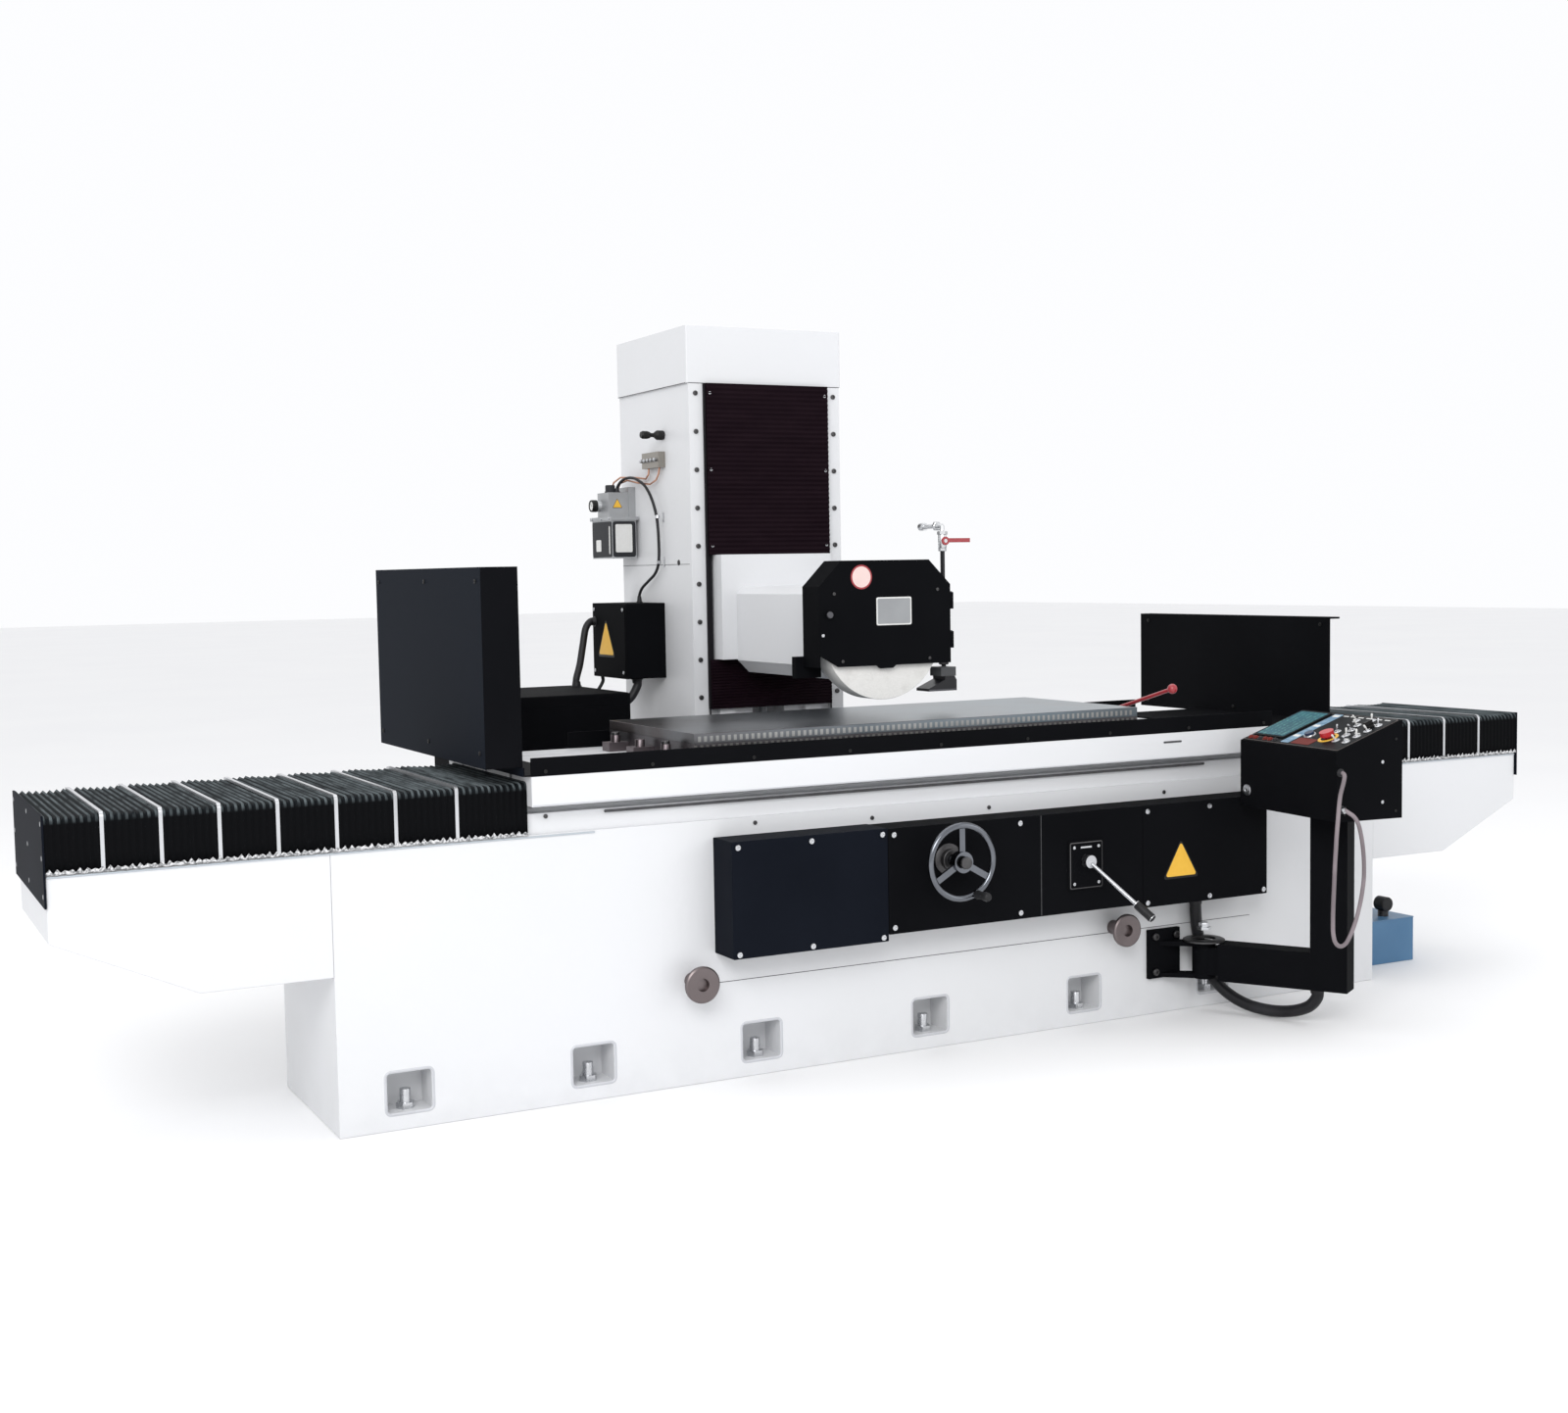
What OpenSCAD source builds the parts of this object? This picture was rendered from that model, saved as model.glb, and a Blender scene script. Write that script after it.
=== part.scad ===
// Column-type surface grinder: the table slides along the bed, the column slides across behind it
// and the wheelhead rides up and down the column. Millimetres, +Z up, floor at Z = 0.

/* [Bed] */
// Length of the main bed casting
bed_len = 3462; // [3000:2:3600]
// Depth of the bed casting
bed_depth = 564; // [520:2:600]
// Height of the bed's shoulder
bed_h = 721; // [600:1:860]
// Y of the bed's front face
bed_front = -316; // [-330:1:-306]
// Height of the way body above the shoulder
way_h = 54; // [40:1:70]
// Height of the flat way above the way body
way_rise = 22.7; // [18:0.1:30]
// Reach of each wing past the bed
wing_len = 659; // [560:1:760]
// Height of a wing's underside next to the bed
wing_under = 406; // [330:1:460]
// Rise of a wing's underside towards its tip
wing_slope = 154; // [80:1:180]
// Width of a levelling pocket
pocket_w = 118; // [90:1:130]
// Height of a levelling pocket
pocket_h = 104; // [80:1:120]
// Radius of a levelling screw
jack_r = 14; // [10:1:18]

/* [Table and chuck] */
// Length of the table
table_len = 2476; // [2400:2:2560]
// X of the table's middle at rest
table_mid = 19; // [-20:1:60]
// Thickness of the table
table_t = 79; // [66:1:95]
// Reach of the table in front of the bed
table_over = 43; // [30:1:60]
// Length of the magnetic chuck
chuck_len = 1500; // [1200:10:1560]
// Width of the magnetic chuck
chuck_w = 600; // [500:10:610]
// Height of the chuck's base
chuck_base_h = 52; // [43:1:62]
// Height of the chuck's pole plate
chuck_top_h = 28; // [22:1:34]
// Height of the splash band along the table
band_h = 48; // [30:1:60]

/* [Splash guards] */
// Reach of the left guard past the table's end
left_out = 115; // [100:1:130]
// Thickness of the left guard's box
guard_box = 100; // [80:1:120]
// Reach of the right guard past the table's end
right_out = 262; // [200:1:300]
// Height of the left guard's top above the table
left_guard_h = 539; // [430:1:600]
// Height of the right guard's top above the table
right_guard_h = 337; // [280:1:400]
// Width of the guards across the machine
guard_w = 964; // [900:2:970]

/* [Column] */
// Width of the column
column_w = 557; // [480:1:600]
// Depth of the column
column_d = 556; // [480:1:620]
// Y of the column's front face at rest
column_front = 684; // [680:1:700]
// Height of the column above its saddle
column_h = 1244; // [1240:2:1400]
// Height of the cap over the lift motor
cap_h = 186; // [180:1:240]
// Wall of the column casting
column_wall = 45; // [35:1:60]
// Height of the rear cross base
cross_h = 600; // [560:1:610]
// Length of the rear cross base behind the bed
cross_len = 1542; // [1500:2:1800]
// Radius of the two ball screws
screw_r = 20; // [16:1:24]

/* [Wheelhead] */
// Radius of the grinding wheel
wheel_r = 200; // [160:1:202]
// Width of the grinding wheel
wheel_w = 75; // [50:1:80]
// Height of the spindle at rest
wheel_z = 1205; // [1190:1:1240]
// Y of the wheel's front face at rest
wheel_front = -76; // [-90:1:-60]
// Half width of the wheel guard
guard_half = 226; // [222:1:236]
// Depth of the wheel guard
guard_depth = 103; // [98:1:120]
// Radius of the spindle
spindle_r = 45; // [35:1:52]
// Width of the spindle housing
housing_w = 300; // [280:2:330]

/* [Covers and controls] */
// Depth of the covers on the bed's front
cover_d = 115; // [90:1:130]
// Sheet thickness of the covers
sheet = 4; // [2:0.5:5]
// Radius of the handwheel's rim
handwheel_r = 112; // [90:1:130]
// Length of the table lever
lever_len = 236; // [190:1:260]

/* [Pendant] */
// Distance from the arm's hinge to the post
arm_len = 394; // [370:1:420]
// Width of the arm tube
arm_w = 80; // [66:1:90]
// Height of the arm tube
arm_h = 113; // [100:1:130]
// Width of the control box across the operator
console_w = 465; // [400:1:470]
// Depth of the control box
console_d = 229; // [190:1:240]
// Height of the control box at its low edge
console_low = 202; // [170:1:230]
// Height of the control box at its high edge
console_high = 285; // [270:1:320]

/* [Hidden] */
$fn = 48;
film = 0.3;      // oil film between flat slideways
run = 0.05;      // radial clearance of a running fit
seat = 0.3;      // gap between curved faces of different bodies

bed_x = bed_len / 2;
bed_back = bed_front + bed_depth;
way_top = bed_h + way_h;
table_bot = way_top + way_rise + film;
table_top = table_bot + table_t;
table_x0 = table_mid - table_len / 2;
table_x1 = table_mid + table_len / 2;
table_front = bed_front - table_over;
table_back = 330;
chuck_x0 = table_mid - chuck_len / 2;
chuck_x1 = table_mid + chuck_len / 2;
chuck_mid_z = table_top + chuck_base_h;
chuck_top_z = chuck_mid_z + chuck_top_h;
v_way_y = bed_front + 86;
v_half = 35;
v_rise = 37;     // ridge height above the way body
v_foot = 9;
v_slope = (v_rise - v_foot) / v_half;
v_cut = (way_top + v_rise + 2 * film - table_bot + 1) / v_slope;   // half width of the table's V groove
flat_y = 170;
flat_w = 70;
channel_half = 75;
channel_z = way_top - 215;
way_front = bed_front + 10;
way_back = bed_back - 10;
wing_x = bed_x + wing_len;
pocket_z = 43;
pocket_x = bed_x - 1181;
pocket_deep = 95;
pocket_xs = [-pocket_x - 1000, -pocket_x - 500, -pocket_x, 0, pocket_x, pocket_x + 500, pocket_x + 1000];

cyl_z = channel_z + 85;
cyl_r = 60;
cyl_bore = 45;
rod_r = 22;
cyl_len = 1740;
piston_x = -858;
rod_hang_x = table_x1 - 42;

bellows_front = bed_front - 6;
bellows_back = table_back - 28;
bellows_top = table_bot + 63;
bellows_bot = bed_h + 4;
bellows_t = 10;

col_x = column_w / 2;
column_z = cross_h + 160;
column_top = column_z + column_h;
column_back = column_front + column_d;
cap_over = 6;
strip_w = 50;
face_y = column_front - 16;      // front of the column's side strips
rail_y = column_front - 20;      // front of the head rails
rail_x = 160;
rail_w = 56;
nut_z = wheel_z + 75;
lift_y = column_front + 36;
lift_r = 16;
cross_x = 240;
cross_rail_h = 30;
saddle_bot = cross_h + cross_rail_h + film;
cross_y0 = bed_back;
cross_y1 = cross_y0 + cross_len;
cross_screw_z = cross_h + 26;

head_top = wheel_z + 244;
head_bot = wheel_z - 97;
head_half = 203;
head_back = rail_y - film;
head_plate = 60;
housing_top = wheel_z + 140;
housing_bot = wheel_z - 140;
guard_y0 = wheel_front - 18;
guard_y1 = guard_y0 + guard_depth;
guard_top = wheel_z + 215;
guard_bot = wheel_z - 97;
bevel = 75;
guard_t = 5;
door_axis = [guard_half + 8, guard_y0 + 8];
knuckle_zs = [guard_bot + 44, guard_top - 150];

cover_y = bed_front - cover_d;
cover_z0 = bed_h - 360;
cover_z1 = bed_h - 50;
cover_left = [-688, -204];
cover_mid = [-203, 685];
cover_right = [686, 1171];
handwheel_at = [-8, cover_y - 75, 571];
lever_at = [472, cover_y, 524];

hinge_at = [945, bed_front - 84];
arm_z = 115;
arm_turn = 31.4;                 // degrees from the front towards +X
post_at = [hinge_at[0] + arm_len * sin(arm_turn), hinge_at[1] - arm_len * cos(arm_turn)];
post_w = 110;
console_z = 650;
console_turn = 6.2;
console_u = -136;                // low edge from the post
console_v = -196;                // near end from the post
panel_tilt = atan((console_high - console_low) / console_d);

box_x = [-422, -278.5];
box_y = [889, 1184];
box_z = [1041, 1293];
cabinet = [-992, 700, 500, 512, 1009];   // X, Y, width, depth and height of the rear cabinet
tank_x0 = 1766;

function unit(v) = v / norm(v);
function tangent(p, i) = unit(p[min(i + 1, len(p) - 1)] - p[max(i - 1, 0)]);
function across(u, t) = unit(u - t * (u * t));
function sides_of(p, u = [0.31, 0.23, 0.92], i = 0) =
    i == len(p) ? [] : let (n = across(u, tangent(p, i))) concat([n], sides_of(p, n, i + 1));

// A round tube swept along a list of points
module tube(p, r, k = 8) {
    n = sides_of(p);
    rings = [for (i = [0:len(p) - 1]) let (b = cross(tangent(p, i), n[i]))
        for (a = [0:k - 1]) p[i] + r * (cos(360 * a / k) * n[i] + sin(360 * a / k) * b)];
    last = (len(p) - 1) * k;
    polyhedron(rings, concat(
        [[for (a = [0:k - 1]) a]],
        [[for (a = [k - 1:-1:0]) last + a]],
        [for (i = [0:len(p) - 2]) for (a = [0:k - 1])
            [i * k + a, (i + 1) * k + a, (i + 1) * k + (a + 1) % k, i * k + (a + 1) % k]]));
}

// A box given by its limits along each axis
module block(x, y, z) translate([x[0], y[0], z[0]]) cube([x[1] - x[0], y[1] - y[0], z[1] - z[0]]);

// An outline in X and Z, extruded along Y
module slab_y(points, y0, y1)
    translate([0, y1, 0]) rotate([90, 0, 0]) linear_extrude(y1 - y0) polygon(points);

// An outline in Y and Z, extruded along X
module slab_x(points, x0, x1)
    translate([x0, 0, 0]) rotate([90, 0, 90]) linear_extrude(x1 - x0) polygon(points);

module rod_x(r, x0, x1, y, z) translate([x0, y, z]) rotate([0, 90, 0]) cylinder(r = r, h = x1 - x0);
module rod_y(r, y0, y1, x, z) translate([x, y1, z]) rotate([90, 0, 0]) cylinder(r = r, h = y1 - y0);
module rod_z(r, z0, z1, x, y) translate([x, y, z0]) cylinder(r = r, h = z1 - z0);

// ---- bed and base ----
module ways(x0, x1) {
    block([x0, x1], [way_front, way_back], [bed_h, way_top]);
    block([x0, x1], [flat_y - flat_w / 2, flat_y + flat_w / 2], [way_top, way_top + way_rise]);
    slab_x([[v_way_y - v_half, way_top], [v_way_y - v_half, way_top + v_foot], [v_way_y, way_top + v_rise],
        [v_way_y + v_half, way_top + v_foot], [v_way_y + v_half, way_top]], x0, x1);
}

module pocket(x, front) {
    y = front ? [bed_front - 1, bed_front + pocket_deep] : [bed_back - pocket_deep, bed_back + 1];
    block([x - pocket_w / 2, x + pocket_w / 2], y, [pocket_z, pocket_z + pocket_h]);
    rod_z(jack_r + 0.5, -1, pocket_z + 1, x, front ? bed_front + 45 : bed_back - 45);
}

module stud_hole(x, y0, y1) rod_y(22, y0, y1, x, 288);

module bed() color("whitesmoke") difference() {
    union() {
        block([-bed_x, bed_x], [bed_front, bed_back], [0, bed_h]);
        ways(-bed_x, bed_x);
    }
    for (x = pocket_xs) {
        pocket(x, true);
        pocket(x, false);
    }
    block([-bed_x - 1, bed_x + 1], [-channel_half, channel_half], [channel_z, way_top + 1]);
    for (x = [-760, 660]) {
        stud_hole(x, bed_front - 1, bed_front + 60);
        stud_hole(x, bed_back - 60, bed_back + 1);
    }
}

module wing() difference() {
    union() {
        slab_y([[bed_x, wing_under], [bed_x + 0.49 * wing_len, wing_under],
            [wing_x, wing_under + wing_slope], [wing_x, bed_h], [bed_x, bed_h]], bed_front, bed_back);
        ways(bed_x, wing_x);
    }
    block([bed_x - 1, wing_x - 250], [-channel_half, channel_half], [channel_z, way_top + 1]);
}

module bed_wings() color("whitesmoke") {
    wing();
    mirror([1, 0, 0]) wing();
}

module cross_base() color("whitesmoke") {
    difference() {
        block([-330, 330], [cross_y0, cross_y1], [0, cross_h]);
        block([-200, 200], [cross_y0 + 80, cross_y1 - 80], [-1, cross_h - 90]);
    }
    for (y = [cross_y0 + 30, cross_y1 - 70]) difference() {
        block([-55, 55], [y, y + 40], [cross_h, cross_screw_z + 30]);
        rod_y(screw_r + run, y - 1, y + 41, 0, cross_screw_z);
    }
}

module cross_rails() color("silver") for (s = [-1, 1])
    block([s * cross_x - 22, s * cross_x + 22], [cross_y0 + 30, cross_y1 - 30],
        [cross_h, cross_h + cross_rail_h]);

module levelling_screws() color("silver") for (x = pocket_xs, y = [bed_front + 45, bed_back - 45]) {
    rod_z(jack_r, 0, pocket_z + 50, x, y);
    translate([x, y, pocket_z]) difference() {
        cylinder(r = 24, h = 16, $fn = 6);
        translate([0, 0, -1]) cylinder(r = jack_r + 0.2, h = 18);
    }
}

module lifting_studs() color("dimgray") for (x = [-760, 660]) {
    rod_y(21.8, bed_front - 62, bed_front + 58, x, 288);
    rod_y(50, bed_front - 76, bed_front - 62, x, 288);
    rod_y(21.8, bed_back - 58, bed_back + 62, x, 288);
    rod_y(50, bed_back + 62, bed_back + 76, x, 288);
}

// A sheet-metal box open towards the bed, with ribs at the given places
module cover_box(x, z0, z1, ribs = []) {
    difference() {
        block(x, [cover_y, bed_front], [z0, z1]);
        block([x[0] + sheet, x[1] - sheet], [cover_y + sheet, bed_front + 1], [z0 + sheet, z1 - sheet]);
    }
    for (r = ribs) block([r, r + sheet], [cover_y + sheet, bed_front], [z0 + sheet, z1 - sheet]);
}

module left_front_cover() color("black") cover_box(cover_left, cover_z0 - 6, cover_z1 + 2);

module control_panel() color("black") difference() {
    union() {
        cover_box(cover_mid, cover_z0 + 12, cover_z1, [240]);
        block([lever_at[0] - 64, lever_at[0] + 64], [cover_y - 5, cover_y],
            [lever_at[2] - 86, lever_at[2] + 62]);
        rod_y(26, cover_y + sheet, bed_front, lever_at[0], lever_at[2]);
        rod_y(34, cover_y + sheet, bed_front, handwheel_at[0], handwheel_at[2]);
    }
    rod_y(15 + run, cover_y - 1, bed_front + 1, handwheel_at[0], handwheel_at[2]);
    rod_y(10 + run, cover_y - 6, bed_front + 1, lever_at[0], lever_at[2]);
}

module electrical_cover() color("black") cover_box(cover_right, cover_z0, cover_z1);

module screw_head(x, z) rod_y(8, cover_y - 4, cover_y, x, z);

module cover_screws() color("silver") {
    for (x = [cover_left[0] + 18, -446, cover_left[1] - 18], z = [cover_z0 + 12, cover_z1 - 16])
        screw_head(x, z);
    for (x = [cover_mid[0] + 18, 240], z = [cover_z0 + 30, cover_z1 - 18]) screw_head(x, z);
    for (x = [cover_right[0] + 16, 940, cover_right[1] - 16], z = [cover_z0 + 14, cover_z1 - 18])
        screw_head(x, z);
}

module bellows_end_plates() color("black") for (s = [-1, 1]) {
    x = s > 0 ? [wing_x, wing_x + 5] : [-wing_x - 5, -wing_x];
    block(x, [bellows_front - 2, bellows_back + 2], [bed_h - 77, bellows_top]);
}

module table_cylinder() color("gray") {
    difference() {
        union() {
            rod_x(cyl_r, -bed_x + 5, -bed_x + 5 + cyl_len, 0, cyl_z);
            for (x = [-bed_x + 60, -bed_x + cyl_len - 120]) block([x, x + 60], [-60, 60],
                [channel_z, cyl_z]);
        }
        rod_x(cyl_bore, -bed_x + 25, -bed_x + cyl_len - 25, 0, cyl_z);
        rod_x(rod_r + run, -bed_x + cyl_len - 26, -bed_x + 6 + cyl_len, 0, cyl_z);
    }
}

module cross_motor() color("dimgray") difference() {
    union() {
        block([-65, 65], [cross_y1, cross_y1 + 20], [cross_screw_z - 65, cross_screw_z + 65]);
        block([-55, 55], [cross_y1 + 20, cross_y1 + 220], [cross_screw_z - 55, cross_screw_z + 55]);
    }
    rod_y(screw_r + 1, cross_y1 - 1, cross_y1 + 60, 0, cross_screw_z);
}

module hydraulic_tank() color("steelblue") {
    block([tank_x0, tank_x0 + 320], [-152, 198], [0, 150]);
    rod_z(18, 150, 172, tank_x0 + 240, -90);
    rod_y(24, -112, -68, tank_x0 + 240, 196);
}

module pump_motor() color("gray") {
    rod_z(38, 150, 162, tank_x0 + 146, -70);
    rod_z(28, 162, 252, tank_x0 + 146, -70);
}

module rear_cabinet() color("black") difference() {
    block([cabinet[0], cabinet[0] + cabinet[2]], [cabinet[1], cabinet[1] + cabinet[3]], [0, cabinet[4]]);
    block([cabinet[0] + sheet, cabinet[0] + cabinet[2] - sheet],
        [cabinet[1] + sheet, cabinet[1] + cabinet[3] - sheet],
        [60, cabinet[4] - sheet]);
}

module bracket_lug(z0, z1) difference() {
    union() {
        translate([0, 0, z0]) linear_extrude(z1 - z0)
            polygon([[830, bed_front - 14], [890, bed_front - 14], hinge_at + [-6, 36],
                hinge_at + [-36, 2]]);
        rod_z(36, z0, z1, hinge_at[0], hinge_at[1]);
    }
    rod_z(12 + run, z0 - 1, z1 + 1, hinge_at[0], hinge_at[1]);
}

module arm_bracket() color("black") {
    block([788, 908], [bed_front - 14, bed_front], [arm_z - 2, arm_z + 150]);
    bracket_lug(arm_z, arm_z + 14);
    bracket_lug(arm_z + arm_h - 14, arm_z + arm_h);
    for (p = [[808, arm_z + 20], [808, arm_z + 130], [888, arm_z + 130]])
        rod_y(9, bed_front - 20, bed_front - 14, p[0], p[1]);
}

arm_conduit_route = [[962, -340, 360.7], [962, -340, 324], [968, -338, 268], [980, -337, 212],
    [994, -342, 156], [1010, -362, 104],
    [1032, -404, 58], [1060, -468, 28], [1090, -540, 20], [1116, -604, 28], [1134, -656, 50],
    [1142, -684, 84],
    [1142, -684, 114.7]];
module arm_conduit() color("black") tube(arm_conduit_route, 18, 10);

module bellows(x0, x1) {
    block([x0, x1], [bellows_front, bellows_front + bellows_t], [bellows_bot, bellows_top]);
    block([x0, x1], [bellows_front + bellows_t, bellows_back - bellows_t],
        [bellows_top - bellows_t, bellows_top]);
    block([x0, x1], [bellows_back - bellows_t, bellows_back], [bellows_bot, bellows_top]);
}
module left_bellows() color("black") bellows(-wing_x + 0.3, table_x0 - 0.3);
module right_bellows() color("black") bellows(table_x1 + 0.3, wing_x - 0.3);

// ---- table ----
module table() color("whitesmoke") {
    difference() {
        block([table_x0, table_x1], [table_front, table_back], [table_bot, table_top]);
        slab_x([[v_way_y - v_cut, table_bot - 1], [v_way_y, way_top + v_rise + 2 * film],
            [v_way_y + v_cut, table_bot - 1]],
            table_x0 - 1, table_x1 + 1);
        for (y = [-200, 0, 200]) {
            block([table_x0 - 1, table_x1 + 1], [y - 9, y + 9], [table_top - 34, table_top + 1]);
            block([table_x0 - 1, table_x1 + 1], [y - 16, y + 16], [table_top - 34, table_top - 20]);
        }
    }
    difference() {
        block([rod_hang_x - 12, rod_hang_x + 12], [-50, 50], [cyl_z - 40, table_bot]);
        rod_x(rod_r + 0.2, rod_hang_x - 13, rod_hang_x + 13, 0, cyl_z);
    }
}

module chuck_base() color("dimgray") difference() {
    block([chuck_x0, chuck_x1], [-chuck_w / 2, chuck_w / 2], [table_top, chuck_mid_z]);
    rod_x(12 + run, chuck_x1 - 70, chuck_x1 + 1, -60, table_top + 38);
}

module chuck_pole_plate() color("silver")
    block([chuck_x0, chuck_x1], [-chuck_w / 2, chuck_w / 2], [chuck_mid_z, chuck_top_z]);

module clamp(x0, x1, y) {
    block([x0, x1], [y - 26, y + 26], [table_top, table_top + 26]);
    rod_z(14, table_top + 26, table_top + 46, (x0 + x1) / 2, y);
}
module chuck_clamps() color("gray") for (y = [-180, 0, 180]) {
    clamp(chuck_x0 - 62, chuck_x0, y);
    if (y != 0) clamp(chuck_x1, chuck_x1 + 62, y);
}

guard_y = [bed_front - 23, bed_front - 23 + guard_w];
module left_splash_guard() color("black") {
    x0 = table_x0 - left_out;
    x1 = x0 + guard_box;
    z0 = table_top + 24;
    difference() {
        block([x0, x1], guard_y, [z0, table_top + left_guard_h]);
        block([x0 + sheet, x1 + 1], [guard_y[0] + sheet, guard_y[1] - sheet],
            [z0 + sheet, table_top + left_guard_h - sheet]);
    }
    block([x1 - sheet, x1], [table_front + 6, table_back], [table_top, z0]);
    block([x1, x1 + 130], [table_front + 6, table_back], [table_top, table_top + 4]);
}

module right_splash_guard() color("black") {
    x1 = table_x1 + right_out;
    block([x1 - 6, x1], guard_y, [table_top, table_top + right_guard_h]);
    block([x1, x1 + 40], guard_y, [table_top + right_guard_h - 6, table_top + right_guard_h]);
    block([table_x1 - 120, x1 - 6], [table_front + 6, table_back], [table_top, table_top + 4]);
}

module splash_band() color("black") {
    block([table_x0, table_x1], [table_front, table_front + 6], [table_top, table_top + band_h]);
    block([chuck_x0 - 120, table_x1], [table_back, table_back + 5], [table_top - 40, table_top + band_h]);
}

module piston_rod() color("silver") {
    rod_x(cyl_bore - run, piston_x - 30, piston_x + 30, 0, cyl_z);
    rod_x(rod_r, piston_x + 30, rod_hang_x + 34, 0, cyl_z);
}

module chuck_lever() color("firebrick") {
    y = -60;
    z = table_top + 38;
    rod_x(12, chuck_x1 - 60, chuck_x1, y, z);
    rod_x(20, chuck_x1 + seat, chuck_x1 + 36, y, z);
    rod_x(12, chuck_x1, chuck_x1 + seat, y, z);
    translate([chuck_x1 + 20, y, z]) rotate([90 - 15.2, 0, 0]) {
        translate([0, 0, 15]) cylinder(r = 6, h = 370);
        translate([0, 0, 397]) sphere(r = 15);
    }
}

module cross_screw() color("silver") {
    rod_y(screw_r, cross_y0 + 30, cross_y1 + 50, 0, cross_screw_z);
}

// ---- column ----
module column() color("whitesmoke") difference() {
    union() {
        block([-col_x, col_x], [column_front, column_back], [column_z, column_top]);
        for (s = [-1, 1]) {
            block([s * (col_x - strip_w / 2) - strip_w / 2, s * (col_x - strip_w / 2) + strip_w / 2],
                [face_y, column_front], [column_z, column_top]);
            block([s * rail_x - rail_w / 2, s * rail_x + rail_w / 2], [rail_y, column_front],
                [column_z + 140, column_top - 10]);
        }
    }
    block([-col_x + column_wall, col_x - column_wall], [column_front + 120, column_back - column_wall],
        [column_z - 1, column_top - 40]);
    block([-60, 60], [column_front - 1, column_front + 76], [column_z + 120, column_top + 1]);
    rod_z(lift_r + run, column_z + 98, column_z + 121, 0, lift_y);
}

module column_cap() color("white") difference() {
    block([-col_x - cap_over, col_x + cap_over], [face_y, column_back + cap_over],
        [column_top, column_top + cap_h]);
    block([-col_x + 4, col_x - 4], [face_y + 4, column_back - 4], [column_top - 1, column_top + cap_h - 4]);
}

bolt_zs = [for (i = [0:8]) column_top - 32 - 123.5 * i];
module column_bolts() color("silver") for (z = bolt_zs, s = [-1, 1])
    rod_y(8, face_y - 5, face_y, s * (col_x - 24), z);

module way_cover(z0, z1) block([-224, 224], [rail_y - 20, rail_y - 2], [z0, z1]);
module upper_way_bellows() color("black") way_cover(head_top + 0.3, column_top);
module lower_way_bellows() color("black") way_cover(column_z + 185, head_bot - 0.3);

module column_saddle() color("whitesmoke") {
    block([-300, 300], [column_front - 24, column_back + 24], [cross_h + 55, column_z]);
    for (s = [-1, 1], y = [column_front + 20, column_back - 140]) difference() {
        block([s * cross_x - 45, s * cross_x + 45], [y, y + 120], [cross_h + 8, cross_h + 55]);
        block([s * cross_x - 22.3, s * cross_x + 22.3], [y - 1, y + 121], [cross_h + 7, saddle_bot]);
    }
    difference() {
        block([-45, 45], [column_front + 200, column_front + 300], [cross_h + 2, cross_h + 55]);
        rod_y(screw_r + run, column_front + 199, column_front + 301, 0, cross_screw_z);
    }
}

module lift_motor() color("dimgray") difference() {
    union() {
        block([-70, 70], [column_front + 96, column_front + 126], [column_top, column_top + 20]);
        block([-70, 70], [lift_y - 44, column_front + 126], [column_top + 0.3, column_top + 20]);
        rod_z(43, column_top + 20, column_top + 160, 0, lift_y);
    }
    rod_z(lift_r + 1, column_top - 1, column_top + 60, 0, lift_y);
}

module junction_box() color("black") difference() {
    block([box_x[0], -col_x], box_y, box_z);
    block([box_x[0] + sheet, -col_x + 1], [box_y[0] + sheet, box_y[1] - sheet],
        [box_z[0] + sheet, box_z[1] - sheet]);
}

module lubricator() color("lightgray") {
    block([-304, -col_x], [1120, 1220], [1578, 1690]);
    block([-376, -304], [1126, 1226], [1588, 1672]);
    block([-386, -284], [1085, 1276], [1576, 1588]);
    block([-380, -290], [1092, 1270], [1446, 1576]);
    rod_x(20, -404, -376, 1206, 1628);
}

oil_tube_a = [[-290, 884, 1744], [-290, 892, 1724], [-290, 914, 1704], [-292, 960, 1692],
    [-300, 1040, 1700], [-312, 1108, 1712],
    [-322, 1146, 1704], [-326, 1156, 1688],
    [-326, 1156, 1672.3]];
oil_tube_b = [[-290, 972, 1744], [-290, 976, 1726], [-290, 1000, 1712], [-300, 1070, 1720],
    [-320, 1150, 1724],
    [-332, 1182, 1708], [-336, 1192, 1688], [-336, 1192, 1672.3]];
module oil_distributor() color("sandybrown") {
    block([-304, -col_x], [862, 998], [1744, 1796]);
    tube(oil_tube_a, 3);
    tube(oil_tube_b, 3);
}

module column_knob() color("black") translate([-col_x, 872, 1850]) rotate([0, -90, 0])
    rotate_extrude() polygon([[0, 0], [14, 0], [16, 4], [16, 24], [12, 30], [7, 36], [7, 46],
        [11, 52], [13, 60], [13, 76], [10, 82], [0, 82]]);

lubricator_cable_route = [[-338, 1140, 1672.3], [-338, 1140, 1686], [-332, 1124, 1706],
    [-322, 1096, 1718], [-314, 1060, 1718],
    [-310, 1020, 1708], [-306, 968, 1684], [-302, 926, 1640], [-298, 898, 1578], [-296, 890, 1500],
    [-296, 894, 1430],
    [-297, 922, 1392], [-300, 974, 1366], [-305, 1018, 1342], [-308, 1036, 1316], [-308, 1036, 1293.3]];
module lubricator_cable() color("black") tube(lubricator_cable_route, 5);

module cabinet_conduits() color("black") {
    tube([[-422.4, 1160, 1230], [-440, 1160, 1230], [-460, 1156, 1206], [-474, 1150, 1150],
        [-490, 1142, 1084], [-508, 1132, 1036],
        [-508, 1132, 1009.3]], 12, 8);
    tube([[-400, 1160, 1040.7], [-400, 1160, 1020], [-424, 1163, 986], [-466, 1166, 966],
        [-491.7, 1166, 966]], 6, 8);
    tube([[-372, 922, 1040.7], [-372, 922, 1016], [-398, 922, 976], [-440, 920, 952],
        [-491.7, 920, 952]], 14, 8);
}

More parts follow.
